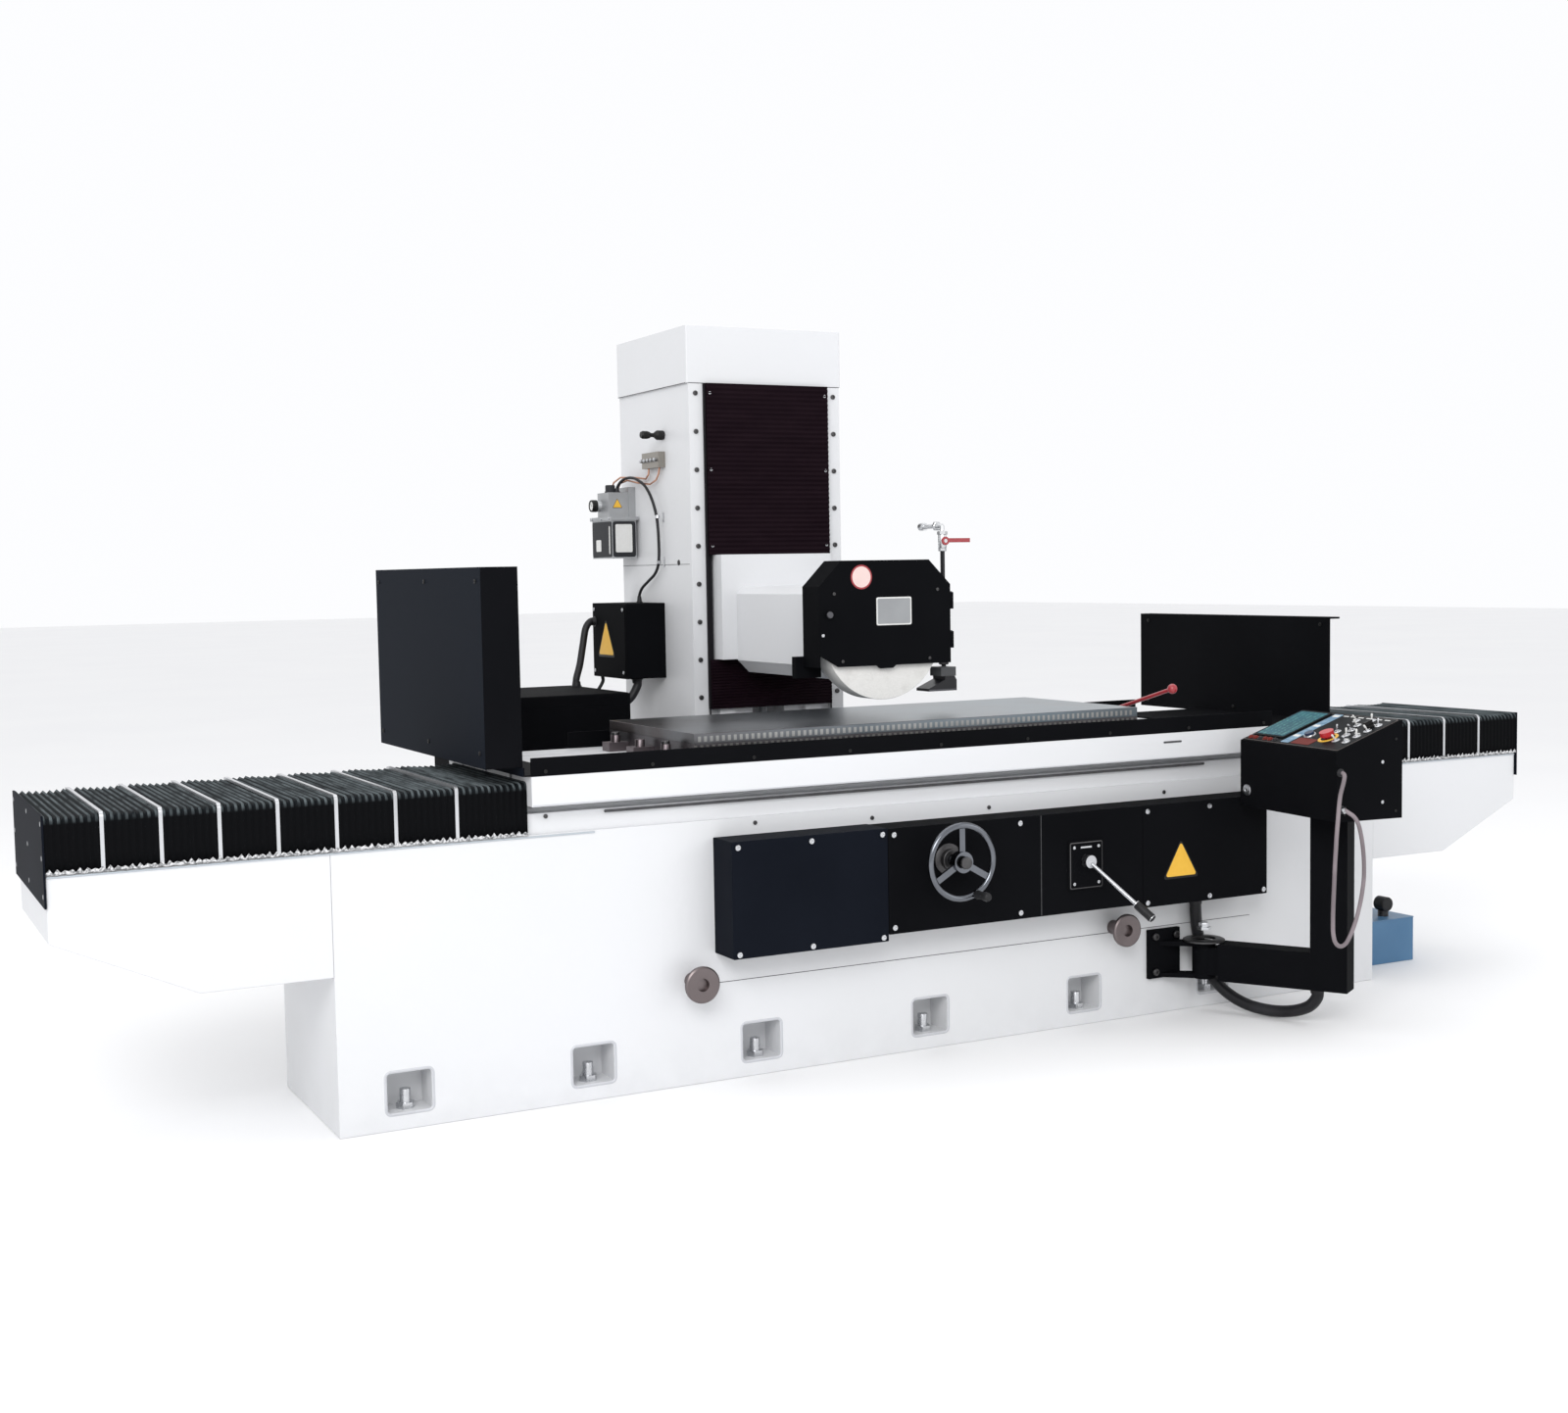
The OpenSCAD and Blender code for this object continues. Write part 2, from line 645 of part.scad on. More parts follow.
module lift_screw() color("silver") rod_z(lift_r, column_z + 100, column_top + 55, 0, lift_y);

// ---- wheelhead ----
module head_casting() color("whitesmoke") difference() {
    union() {
        block([-head_half, head_half], [head_back - head_plate, head_back], [head_bot, head_top]);
        slab_y([[-housing_w / 2, housing_bot + 40], [-housing_w / 2 + 40, housing_bot],
            [housing_w / 2 - 40, housing_bot],
            [housing_w / 2, housing_bot + 40], [housing_w / 2, housing_top - 24],
            [housing_w / 2 - 24, housing_top],
            [-housing_w / 2 + 24, housing_top],
            [-housing_w / 2, housing_top - 24]], guard_y1 + 60, head_back - head_plate);
        rod_y(112, guard_y1 + 20, guard_y1 + 60, 0, wheel_z);
        rod_y(84, guard_y1, guard_y1 + 20, 0, wheel_z);
        block([-40, 40], [head_back, lift_y + 34], [nut_z - 45, nut_z + 45]);
    }
    rod_y(spindle_r + run, guard_y1 - 1, guard_y1 + 260, 0, wheel_z);
    rod_y(122, guard_y1 + 250, head_back - head_plate - 30, 0, wheel_z);
    rod_z(lift_r + run, nut_z - 46, nut_z + 46, 0, lift_y);
}

module spindle_motor() color("dimgray") difference() {
    rod_y(121.8, guard_y1 + 270, guard_y1 + 500, 0, wheel_z);
    rod_y(72, guard_y1 + 269, guard_y1 + 501, 0, wheel_z);
}

function guard_outline(g) = [[-guard_half + g, guard_bot + g], [guard_half - g, guard_bot + g],
    [guard_half - g, guard_top - bevel - 0.4 * g], [guard_half - bevel - 0.4 * g, guard_top - g],
    [-guard_half + bevel + 0.4 * g, guard_top - g], [-guard_half + g, guard_top - bevel - 0.4 * g]];

module wheel_guard() color("black") {
    difference() {
        slab_y(guard_outline(0), guard_y0 + guard_t + 0.5, guard_y1);
        slab_y(guard_outline(guard_t), guard_y0, guard_y1 - guard_t);
        block([-guard_half + guard_t, guard_half - guard_t], [guard_y0, guard_y1 - guard_t],
            [guard_bot - 1, guard_bot + 10]);
        rod_y(70, guard_y1 - guard_t - 1, guard_y1 + 1, 0, wheel_z);
    }
    block([-guard_half - 26, -guard_half + 60], [guard_y1, guard_y1 + 24],
        [guard_bot - 34, guard_bot + 30]);
    for (z = knuckle_zs) difference() {
        union() {
            rod_z(7, z, z + 26, door_axis[0], door_axis[1]);
            block([guard_half - 2, door_axis[0]], [door_axis[1] - 1, door_axis[1] + 7], [z, z + 26]);
        }
        rod_z(4 + run, z - 1, z + 27, door_axis[0], door_axis[1]);
    }
}

module guard_door() color("black") {
    slab_y([[-guard_half, guard_bot + 36], [-guard_half + 62, guard_bot], [-34, guard_bot],
        [-22, guard_bot - 9], [22, guard_bot - 9],
            [34, guard_bot], [guard_half, guard_bot], [guard_half, guard_top - bevel],
            [guard_half - bevel, guard_top],
        [-guard_half + bevel, guard_top], [-guard_half, guard_top - bevel]], guard_y0, guard_y0 + guard_t);
    for (z = knuckle_zs) {
        rod_z(7, z + 26.3, z + 50, door_axis[0], door_axis[1]);
        rod_z(4, z, z + 26.3, door_axis[0], door_axis[1]);
        block([guard_half - 20, door_axis[0] - 2], [guard_y0, guard_y0 + guard_t - 0.2],
            [z + 26.3, z + 50]);
    }
}

pipe_at = [252, -12];
module coolant_pipe() color("silver") {
    block([guard_half, pipe_at[0]], [pipe_at[1] - 10, pipe_at[1] + 10], [wheel_z - 60, wheel_z - 30]);
    rod_z(7, wheel_z - 112, wheel_z + 250, pipe_at[0], pipe_at[1]);
    rod_z(13, wheel_z + 250, wheel_z + 290, pipe_at[0], pipe_at[1]);
    rod_y(6 - run, pipe_at[1] - 20, pipe_at[1] - 13, pipe_at[0], wheel_z + 271);
    rod_z(7, wheel_z + 290, wheel_z + 317, pipe_at[0], pipe_at[1]);
    rod_y(7, pipe_at[1], pipe_at[1] + 100, pipe_at[0], wheel_z + 317);
    rod_y(12, pipe_at[1] + 100, pipe_at[1] + 124, pipe_at[0], wheel_z + 317);
    block([pipe_at[0] - 46, pipe_at[0] + 7], [-70, -6], [wheel_z - 140, wheel_z - 112]);
    slab_y([[pipe_at[0] - 34, wheel_z - 140], [pipe_at[0] - 34, wheel_z - 150],
        [pipe_at[0] - 94, wheel_z - 176], [pipe_at[0] - 94, wheel_z - 184],
        [pipe_at[0] + 7, wheel_z - 184], [pipe_at[0] + 7, wheel_z - 152],
        [pipe_at[0], wheel_z - 140]], -74, -4);
}

module valve_handle() color("red") {
    difference() {
        rod_y(13, pipe_at[1] - 20, pipe_at[1] - 14, pipe_at[0], wheel_z + 271);
        rod_y(6, pipe_at[1] - 21, pipe_at[1] - 13, pipe_at[0], wheel_z + 271);
    }
    block([pipe_at[0] + 11, pipe_at[0] + 88], [pipe_at[1] - 20, pipe_at[1] - 14],
        [wheel_z + 266, wheel_z + 279]);
}

module grinding_wheel() color("white") difference() {
    rod_y(wheel_r, wheel_front, wheel_front + wheel_w, 0, wheel_z);
    rod_y(63.5, wheel_front - 1, wheel_front + wheel_w + 1, 0, wheel_z);
}

module spindle() color("silver") {
    y1 = wheel_front + wheel_w;
    rod_y(95, wheel_front - 8, wheel_front, 0, wheel_z);
    rod_y(63.3, wheel_front, y1, 0, wheel_z);
    rod_y(60, y1, y1 + 6, 0, wheel_z);
    rod_y(spindle_r, y1 + 6, guard_y1 + 262, 0, wheel_z);
    rod_y(70, guard_y1 + 262, guard_y1 + 505, 0, wheel_z);
}

// ---- hand controls ----
module handwheel() color("silver") translate(handwheel_at) rotate([90, 0, 0]) {
    rotate_extrude() translate([handwheel_r - 9, 0]) circle(r = 9);
    translate([0, 0, -134.7]) cylinder(r = 15, h = 120);
    translate([0, 0, -15]) cylinder(r = 30, h = 26);
    for (a = [90, 210, 330]) rotate([0, 0, a]) translate([24, -9, -6]) cube([handwheel_r - 38, 18, 9]);
    rotate([0, 0, -66]) translate([handwheel_r - 9, 0, 7]) cylinder(r = 11, h = 56);
}

module table_lever() color("silver") {
    rod_y(10, cover_y - 5, cover_y + 60, lever_at[0], lever_at[2]);
    rod_y(19, cover_y - 30, cover_y - 5.3, lever_at[0], lever_at[2]);
    rod_y(10, cover_y - 5.3, cover_y - 5, lever_at[0], lever_at[2]);
    translate([lever_at[0], cover_y - 18, lever_at[2]]) rotate([0, 0, 24]) rotate([126, 0, 0]) {
        translate([0, 0, 14]) cylinder(r = 6, h = lever_len - 60);
        translate([0, 0, lever_len - 46]) cylinder(r = 12, h = 66);
    }
}

// ---- pendant ----
module pendant_arm() color("black") {
    translate([hinge_at[0], hinge_at[1], arm_z]) rotate([0, 0, arm_turn - 90]) {
        translate([0, 0, 14.3]) {
            cylinder(r = 36, h = arm_h - 28.6);
            translate([0, -30, 0]) cube([60, 60, arm_h - 28.6]);
        }
        translate([0, 0, 1]) cylinder(r = 12, h = 14);
        translate([0, 0, arm_h - 15]) cylinder(r = 12, h = 14);
        translate([56, -arm_w / 2, 0]) cube([arm_len - 56 + post_w / 2, arm_w, arm_h]);
        translate([arm_len - post_w / 2, -arm_w / 2, arm_h]) difference() {
            cube([post_w, arm_w, console_z - arm_z - arm_h - 12]);
            translate([post_w / 2, arm_w / 2, console_z - arm_z - arm_h - 62]) cylinder(r = 20 + run,
                h = 60);
        }
    }
}

module on_post() translate([post_at[0], post_at[1], 0]) rotate([0, 0, -console_turn]) children();

// Places children on the sloping panel: u from the low edge, v from the near end
module on_panel(u, v) on_post() translate([console_u + u, console_v + v,
    console_z + console_low + u * tan(panel_tilt)])
    rotate([0, -panel_tilt, 0]) children();

module console_box() color("black") difference() {
    union() {
        on_post() {
            slab_y([[console_u, console_z], [console_u + console_d, console_z],
                [console_u + console_d, console_z + console_high],
                [console_u, console_z + console_low]], console_v, console_v + console_w);
            rod_z(20, console_z - 50, console_z, 0, 0);
            rod_z(52, console_z - 11.7, console_z, 0, 0);
        }
    }
    on_post() slab_y([[console_u + 4, console_z + 4], [console_u + console_d - 4, console_z + 4],
        [console_u + console_d - 4, console_z + console_high - 12],
        [console_u + 4, console_z + console_low - 12]],
        console_v + 4, console_v + console_w - 4);
    on_panel(70, 130) translate([0, 0, -20]) cylinder(r = 11 + run, h = 30);
    on_panel(70, 215) translate([0, 0, -20]) cylinder(r = 9 + run, h = 30);
    on_panel(160, 60) translate([0, 0, -20]) cylinder(r = 8 + run, h = 30);
}

handset_cord_route = [[1006, -918, 792], [1005, -928, 792], [1000, -940, 786], [987, -950, 768],
    [973, -953, 736], [966, -954, 700],
    [962, -954, 660], [958, -954, 620], [955, -954, 580], [952, -954, 540], [950, -954, 500],
    [948, -954, 460],
    [946, -954, 420], [945, -954, 380], [946, -954, 344], [954, -954, 316], [972, -954, 302],
    [994, -954, 308],
    [1014, -954, 334], [1032, -954, 370], [1046, -954, 410], [1056, -954, 450], [1062, -954, 492],
    [1062, -954, 534],
    [1058, -954, 576], [1050, -954, 616], [1040, -953, 648], [1028, -949, 668], [1015, -940, 680],
    [1010, -930, 686], [1009, -919, 686]];
module handset_cord() color("rosybrown") tube(handset_cord_route, 6);

module emergency_stop() color("red") on_panel(70, 130) {
    translate([0, 0, -14]) cylinder(r = 11, h = 24);
    translate([0, 0, 10]) cylinder(r = 21, h = 14);
}
module start_button() color("green") on_panel(70, 215) {
    translate([0, 0, -14]) cylinder(r = 9, h = 22);
    translate([0, 0, 8]) cylinder(r = 14, h = 6);
}
module mode_selector() color("black") on_panel(160, 60) {
    translate([0, 0, -14]) cylinder(r = 8, h = 14.5);
    translate([0, 0, 0.5]) cylinder(r = 15, h = 8);
    translate([-14, -4, 8.5]) cube([28, 8, 12]);
}

bed();
bed_wings();
cross_base();
cross_rails();
levelling_screws();
lifting_studs();
left_front_cover();
control_panel();
electrical_cover();
cover_screws();
bellows_end_plates();
table_cylinder();
cross_motor();
hydraulic_tank();
pump_motor();
rear_cabinet();
arm_bracket();
arm_conduit();
left_bellows();
right_bellows();
table();
chuck_base();
chuck_pole_plate();
chuck_clamps();
left_splash_guard();
right_splash_guard();
splash_band();
piston_rod();
chuck_lever();
cross_screw();
column();
column_cap();
column_bolts();
upper_way_bellows();
lower_way_bellows();
column_saddle();
lift_motor();
junction_box();
lubricator();
oil_distributor();
column_knob();
lubricator_cable();
cabinet_conduits();
lift_screw();
head_casting();
spindle_motor();
wheel_guard();
guard_door();
coolant_pipe();
valve_handle();
grinding_wheel();
spindle();
handwheel();
table_lever();
pendant_arm();
console_box();
handset_cord();
emergency_stop();
start_button();
mode_selector();
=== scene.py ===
import math

import bmesh
import bpy
import numpy as np
from mathutils import Matrix, Vector


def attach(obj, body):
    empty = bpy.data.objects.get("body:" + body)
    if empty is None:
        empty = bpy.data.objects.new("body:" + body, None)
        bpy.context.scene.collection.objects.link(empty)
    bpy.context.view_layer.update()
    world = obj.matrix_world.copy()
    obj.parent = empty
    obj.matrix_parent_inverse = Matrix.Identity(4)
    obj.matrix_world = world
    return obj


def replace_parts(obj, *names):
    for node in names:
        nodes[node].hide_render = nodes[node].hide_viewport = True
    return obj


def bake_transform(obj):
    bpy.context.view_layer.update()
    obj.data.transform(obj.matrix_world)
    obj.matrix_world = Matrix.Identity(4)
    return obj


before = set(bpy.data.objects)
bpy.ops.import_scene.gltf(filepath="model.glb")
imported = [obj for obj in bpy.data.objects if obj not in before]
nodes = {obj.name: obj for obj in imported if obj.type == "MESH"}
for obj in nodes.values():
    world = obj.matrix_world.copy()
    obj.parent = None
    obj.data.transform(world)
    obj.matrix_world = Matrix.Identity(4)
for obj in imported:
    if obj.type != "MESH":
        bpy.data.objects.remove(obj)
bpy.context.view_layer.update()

# ---- Camera ----
# A person's eye stands left of the machine and a little above the table, and looks slightly down at it.
eye, eye_yaw, eye_pitch, eye_roll = Vector((-2.8761, -4.9411, 1.3936)), 0.4809, 0.0716, -0.0172
level_ahead = Vector((math.sin(eye_yaw), math.cos(eye_yaw), 0))
level_right = Vector((math.cos(eye_yaw), -math.sin(eye_yaw), 0))
ahead = level_ahead * math.cos(eye_pitch) - Vector((0, 0, math.sin(eye_pitch)))
above = level_ahead * math.sin(eye_pitch) + Vector((0, 0, math.cos(eye_pitch)))
right = level_right * math.cos(eye_roll) + above * math.sin(eye_roll)
above = above * math.cos(eye_roll) - level_right * math.sin(eye_roll)
camera = bpy.data.objects.new("camera", bpy.data.cameras.new("camera"))
camera.data.lens, camera.data.sensor_width = 43.48, 36
camera.matrix_world = Matrix.Translation(eye) @ Matrix((right, above, -ahead)).transposed().to_4x4()
bpy.context.scene.collection.objects.link(camera)
bpy.context.scene.camera = camera


# ---- Cords ----
# Rubber-sheathed cables and conduits: each is one flexible tube between two glands.
# They are drawn through their laying points.
class Field:
    """A number that varies over a surface. Arithmetic on it adds Math nodes to its finish."""

    def __init__(self, finish, socket):
        self.finish, self.socket = finish, socket

    def maths(self, operation, *values):
        return self.finish.node("ShaderNodeMath", {"operation": operation}, dict(enumerate(values)))

    def __add__(self, other):
        return self.maths("ADD", self, other)

    def __sub__(self, other):
        return self.maths("SUBTRACT", self, other)

    def __rsub__(self, other):
        return self.maths("SUBTRACT", other, self)

    def __mul__(self, other):
        return self.maths("MULTIPLY", self, other)

    def __gt__(self, other):
        return self.maths("GREATER_THAN", self, other)

    def __lt__(self, other):
        return self.maths("LESS_THAN", self, other)

    def __mod__(self, other):
        return self.maths("FLOORED_MODULO", self, other)

    __radd__, __rmul__ = __add__, __mul__

    def ramp(self, low, high):
        """0 at low, 1 at high, straight between them and level outside."""
        return self.finish.node(
            "ShaderNodeMapRange", {"clamp": True}, {0: self, 1: low, 2: high, 3: 0.0, 4: 1.0})


class Finish:
    """One procedural material. Its constants sit on the shader's own sockets, and it remembers the
    record's material slot that it stands for."""

    def __init__(self, name, slot="", **constants):
        self.material = bpy.data.materials.new(name)
        self.material.use_nodes = True
        self.material["slot"] = slot
        self.tree = self.material.node_tree
        self.shader = self.tree.nodes["Principled BSDF"]
        for socket, value in constants.items():
            self.shader.inputs[socket.replace("_", " ")].default_value = value
        self.place = self.node("ShaderNodeTexCoord", {}, {}, "Object")
        self.x, self.y, self.z = (
            self.node("ShaderNodeSeparateXYZ", {}, {0: self.place}, axis) for axis in "XYZ")

    def node(self, kind, settings, sockets, output=0):
        """Adds a node of that type with its settings, and the values or links of its sockets."""
        made = self.tree.nodes.new(kind)
        for setting, value in settings.items():
            setattr(made, setting, value)
        for socket, value in sockets.items():
            if isinstance(value, Field):
                self.tree.links.new(value.socket, made.inputs[socket])
            else:
                made.inputs[socket].default_value = value
        return Field(self, made.outputs[output])

    def noise(self, scale, detail=2.0, stretch=(1, 1, 1)):
        """Smooth noise round 0.5, with its features 1 / scale metres wide."""
        place = self.node("ShaderNodeMapping", {}, {"Vector": self.place, "Scale": stretch})
        return self.node("ShaderNodeTexNoise", {}, {"Vector": place, "Scale": scale, "Detail": detail}, "Fac")

    def mix(self, share, first, second):
        """The first colour where share is 0, the second where it is 1."""
        as_colour = [c if isinstance(c, Field) else (*c, 1) for c in (first, second)]
        sockets = {0: share, 6: as_colour[0], 7: as_colour[1]}
        return self.node("ShaderNodeMix", {"data_type": "RGBA"}, sockets, 2)

    def set(self, colour=None, roughness=None, height=None, depth=0.001, metallic=None):
        """Links what varies over the surface to the shader. The height is in depths, outwards."""
        for socket, value in (("Base Color", colour), ("Roughness", roughness), ("Metallic", metallic)):
            if value is not None:
                self.tree.links.new(value.socket, self.shader.inputs[socket])
        if height is not None:
            bump = self.node("ShaderNodeBump", {}, {"Strength": 1.0, "Distance": depth, "Height": height})
            self.tree.links.new(bump.socket, self.shader.inputs["Normal"])
        return self.material


def surface(name, grid, finish, around=False, along=False, sharp=35):
    """A piece from a grid of points, one quad to each cell. The grid closes on itself around its first
    index or along its second, doubled points at poles and seams are merged, and faces point outwards."""
    rows, columns = grid.shape[:2]
    i, j = np.meshgrid(np.arange(rows - (not around)), np.arange(columns - (not along)), indexing="ij")
    ahead_i, ahead_j = (i + 1) % rows, (j + 1) % columns
    corners = (i * columns + j, ahead_i * columns + j, ahead_i * columns + ahead_j, i * columns + ahead_j)
    quads = np.stack(corners, -1).reshape(-1, 4)
    return piece(name, grid.reshape(-1, 3), quads.tolist(), finish, sharp)


def piece(name, points, faces, finish, sharp=35):
    """A mesh object in place, with its doubles merged and its faces turned outwards."""
    mesh = bpy.data.meshes.new(name)
    mesh.from_pydata(np.asarray(points).tolist(), [], faces)
    shell = bmesh.new()
    shell.from_mesh(mesh)
    bmesh.ops.remove_doubles(shell, verts=shell.verts, dist=1e-6)
    bmesh.ops.dissolve_degenerate(shell, edges=shell.edges, dist=1e-6)
    bmesh.ops.recalc_face_normals(shell, faces=shell.faces)
    shell.to_mesh(mesh)
    shell.free()
    mesh.shade_smooth()
    mesh.set_sharp_from_angle(angle=math.radians(sharp))
    mesh.materials.append(finish)
    made = bpy.data.objects.new(name, mesh)
    bpy.context.scene.collection.objects.link(made)
    return made


def drawn(points, steps=6):
    """A smooth line in metres through points in millimetres: a Catmull-Rom spline."""
    p = np.asarray(points, float) / 1000
    p = np.vstack([2 * p[0] - p[1], p, 2 * p[-1] - p[-2]])
    t = np.arange(steps)[None, :, None] / steps
    a, b, c, d = (p[k:len(p) - 3 + k, None] for k in range(4))
    curve = 0.5 * (2 * b + (c - a) * t + (2 * a - 5 * b + 4 * c - d) * t**2 + (3 * b - a - 3 * c + d) * t**3)
    return np.vstack([curve.reshape(-1, 3), p[-2]])


def swept(name, line, radius, finish, sides=16):
    """A closed tube: a circle carried along a line, square to it. The circle's first spoke leans towards
    the direction that the line runs along least. The radius may change along the line."""
    tangent = np.gradient(line, axis=0)
    tangent /= np.linalg.norm(tangent, axis=1)[:, None]
    spare = np.linalg.svd(tangent, full_matrices=False)[2][-1]
    normal = spare - (tangent @ spare)[:, None] * tangent
    normal /= np.linalg.norm(normal, axis=1)[:, None]
    turn = np.linspace(0, 2 * np.pi, sides, endpoint=False)[:, None, None]
    ring = np.cos(turn) * normal + np.sin(turn) * np.cross(tangent, normal)
    ring *= np.broadcast_to(radius, len(line))[None, :, None]
    skin = line[None] + ring
    ends = np.broadcast_to(line[[0, -1]], (sides, 2, 3))
    return surface(name, np.concatenate([ends[:, :1], skin, ends[:, 1:]], 1), finish, around=True, sharp=50)


def rubber(name, colour, slot="cable_sheath"):
    """Moulded rubber: dull, with a fine skin and a little dust."""
    skin = Finish(name, slot, Specular_IOR_Level=0.25)
    dust = skin.noise(9).ramp(0.45, 0.8)
    lighter = [c * 1.7 + 0.006 for c in colour]
    return skin.set(skin.mix(dust, colour, lighter), 0.42 + dust * 0.2, skin.noise(900), 0.0002)


sheath = rubber("black_sheath", (0.012, 0.012, 0.014))
grey_sheath = rubber("grey_sheath", (0.16, 0.135, 0.145))

handset_route = [
    (1006, -918, 792), (1005, -928, 792), (1000, -940, 786), (987, -950, 768), (973, -953, 736),
    (966, -954, 700), (962, -954, 660), (958, -954, 620), (955, -954, 580), (952, -954, 540),
    (950, -954, 500), (948, -954, 460), (946, -954, 420), (945, -954, 380), (946, -954, 344),
    (954, -954, 316), (972, -954, 302), (994, -954, 308), (1014, -954, 334), (1032, -954, 370),
    (1046, -954, 410), (1056, -954, 450), (1062, -954, 492), (1062, -954, 534), (1058, -954, 576),
    (1050, -954, 616), (1040, -953, 648), (1028, -949, 668), (1015, -940, 680), (1010, -930, 686),
    (1009, -919, 686)]
handset_line = drawn(handset_route)
handset_cord = swept("handset_cord_sheath", handset_line, 0.006, grey_sheath)
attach(handset_cord, "console_body")
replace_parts(handset_cord, "handset_cord")

arm_route = [
    (962, -340, 360.7), (962, -340, 324), (968, -338, 268), (980, -337, 212), (994, -342, 156),
    (1010, -362, 104), (1032, -404, 58), (1060, -468, 28), (1090, -540, 20), (1116, -604, 28),
    (1134, -656, 50), (1142, -684, 84), (1142, -684, 114.7)]
arm_line = drawn(arm_route)
arm_conduit = swept("arm_conduit_sheath", arm_line, 0.018, sheath, sides=24)
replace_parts(arm_conduit, "arm_conduit")
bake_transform(arm_conduit)

pump_cable_route = [
    (-338, 1140, 1672.3), (-338, 1140, 1686), (-332, 1124, 1706), (-322, 1096, 1718), (-314, 1060, 1718),
    (-310, 1020, 1708), (-306, 968, 1684), (-302, 926, 1640), (-298, 898, 1578), (-296, 890, 1500),
    (-296, 894, 1430), (-297, 922, 1392), (-300, 974, 1366), (-305, 1018, 1342), (-308, 1036, 1316),
    (-308, 1036, 1293.3)]
pump_line = drawn(pump_cable_route)
pump_cable = swept("pump_cable_sheath", pump_line, 0.005, sheath, sides=12)
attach(pump_cable, "column_body")
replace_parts(pump_cable, "lubricator_cable")

cabinet_routes = {
    "thick_conduit": (0.256, 12, [
        (-422.4, 1160, 1230), (-440, 1160, 1230), (-460, 1156, 1206), (-474, 1150, 1150),
        (-490, 1142, 1084), (-508, 1132, 1036), (-508, 1132, 1009.3)]),
    "thin_conduit": (0.136, 6, [
        (-400, 1160, 1040.7), (-400, 1160, 1020), (-424, 1163, 986), (-466, 1166, 966),
        (-491.7, 1166, 966)]),
    "low_conduit": (0.174, 14, [
        (-372, 922, 1040.7), (-372, 922, 1016), (-398, 922, 976), (-440, 920, 952),
        (-491.7, 920, 952)])}
for name, (length, radius, route) in cabinet_routes.items():
    line = drawn(route)
    conduit = swept(name, line, radius / 1000, sheath)
    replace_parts(conduit, "cabinet_conduits")
    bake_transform(conduit)

# ---- Cord glands ----
# Each cord enters its housing through a moulded gland: a flange against the wall and a tapered sleeve.
gland_rubber = rubber("gland_rubber", (0.015, 0.015, 0.017))


def turned(name, profile, centre, axis, finish, steps=40):
    """A lathe piece: a profile of (radius, height) in millimetres turned about an axis in the row frame."""
    r, h = np.asarray(profile, float).T / 1000
    w = np.asarray(axis, float) / np.linalg.norm(axis)
    u = np.cross(w, (0.0, 0.0, 1.0) if abs(w[2]) < 0.9 else (1.0, 0.0, 0.0))
    u /= np.linalg.norm(u)
    turn = np.linspace(0, 2 * np.pi, steps, endpoint=False)[:, None, None]
    spoke = np.cos(turn) * u + np.sin(turn) * np.cross(w, u)
    return surface(name, np.asarray(centre) / 1000 + r[:, None] * spoke + h[:, None] * w, finish, around=True)


def gland(name, wall, out, radius, body, length=20):
    """A tapered sleeve that stands out from a wall along a cord, in millimetres."""
    sleeve = [(radius + 0.4, 0), (radius + 6, 0), (radius + 6, 3), (radius + 3.5, 4), (radius + 1.4, length),
              (radius + 0.4, length), (radius + 0.4, 0)]
    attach(turned(name, sleeve, wall, out, gland_rubber), body)


gland("cord_gland_upper", (1006, -917.6, 792), (-0.1, -1, 0), 6, "console_body", 10)
gland("cord_gland_lower", (1009, -918.2, 686), (0.05, -1, 0), 6, "console_body", 10)
gland("conduit_gland_cover", (962, -340, 360.8), (0, 0, -1), 18, "base", 26)
gland("conduit_gland_arm", (1142, -684, 114.8), (0, 0, -1), 18, "arm_body", 20)
gland("cable_gland_box", (-308, 1036, 1293.2), (0, 0, 1), 5, "column_body", 22)
gland("cable_gland_pump", (-338, 1140, 1672.2), (0, 0, 1), 5, "column_body", 14)
gland("thick_gland_cabinet", (-508, 1132, 1009.2), (0, 0, 1), 12, "base", 18)
gland("thick_gland_box", (-422.2, 1160, 1230), (-1, 0, 0), 12, "column_body", 14)
gland("low_gland_box", (-372, 922, 1040.8), (0, 0, -1), 14, "column_body", 16)

# ---- White castings ----
# Bed, bed ends, cross base, column, saddle, cap, wheelhead and table are grey-iron castings, filled and
# sprayed with white enamel. The coat has a faint orange peel, and it is darker in patches near the floor.
def enamel(name, colour, floor_darkening=0.0, slot="white_paint"):
    """Sprayed enamel: a faint orange peel, slow drifts of tone, and patches that darken towards the floor."""
    coat = Finish(name, slot, Specular_IOR_Level=0.5, Coat_Roughness=0.12)
    drift = coat.noise(1.3, 3).ramp(0.3, 0.7)
    # Darker in patches over the lowest 16 cm, more so nearer the floor.
    low = (coat.z.ramp(0.16, 0.0) * coat.noise(14, 4).ramp(0.35, 0.7)) * floor_darkening
    tone = coat.mix(drift, colour, [c * k for c, k in zip(colour, (0.965, 0.965, 0.955))])
    tone = coat.mix(low, tone, [c * 0.62 for c in colour])
    rough = 0.34 + coat.noise(6, 3) * 0.14
    return coat.set(tone, rough, coat.noise(260, 1) + coat.noise(40, 1) * 2.5, 0.00016)


white = enamel("white_enamel", (0.655, 0.662, 0.680), floor_darkening=0.15)


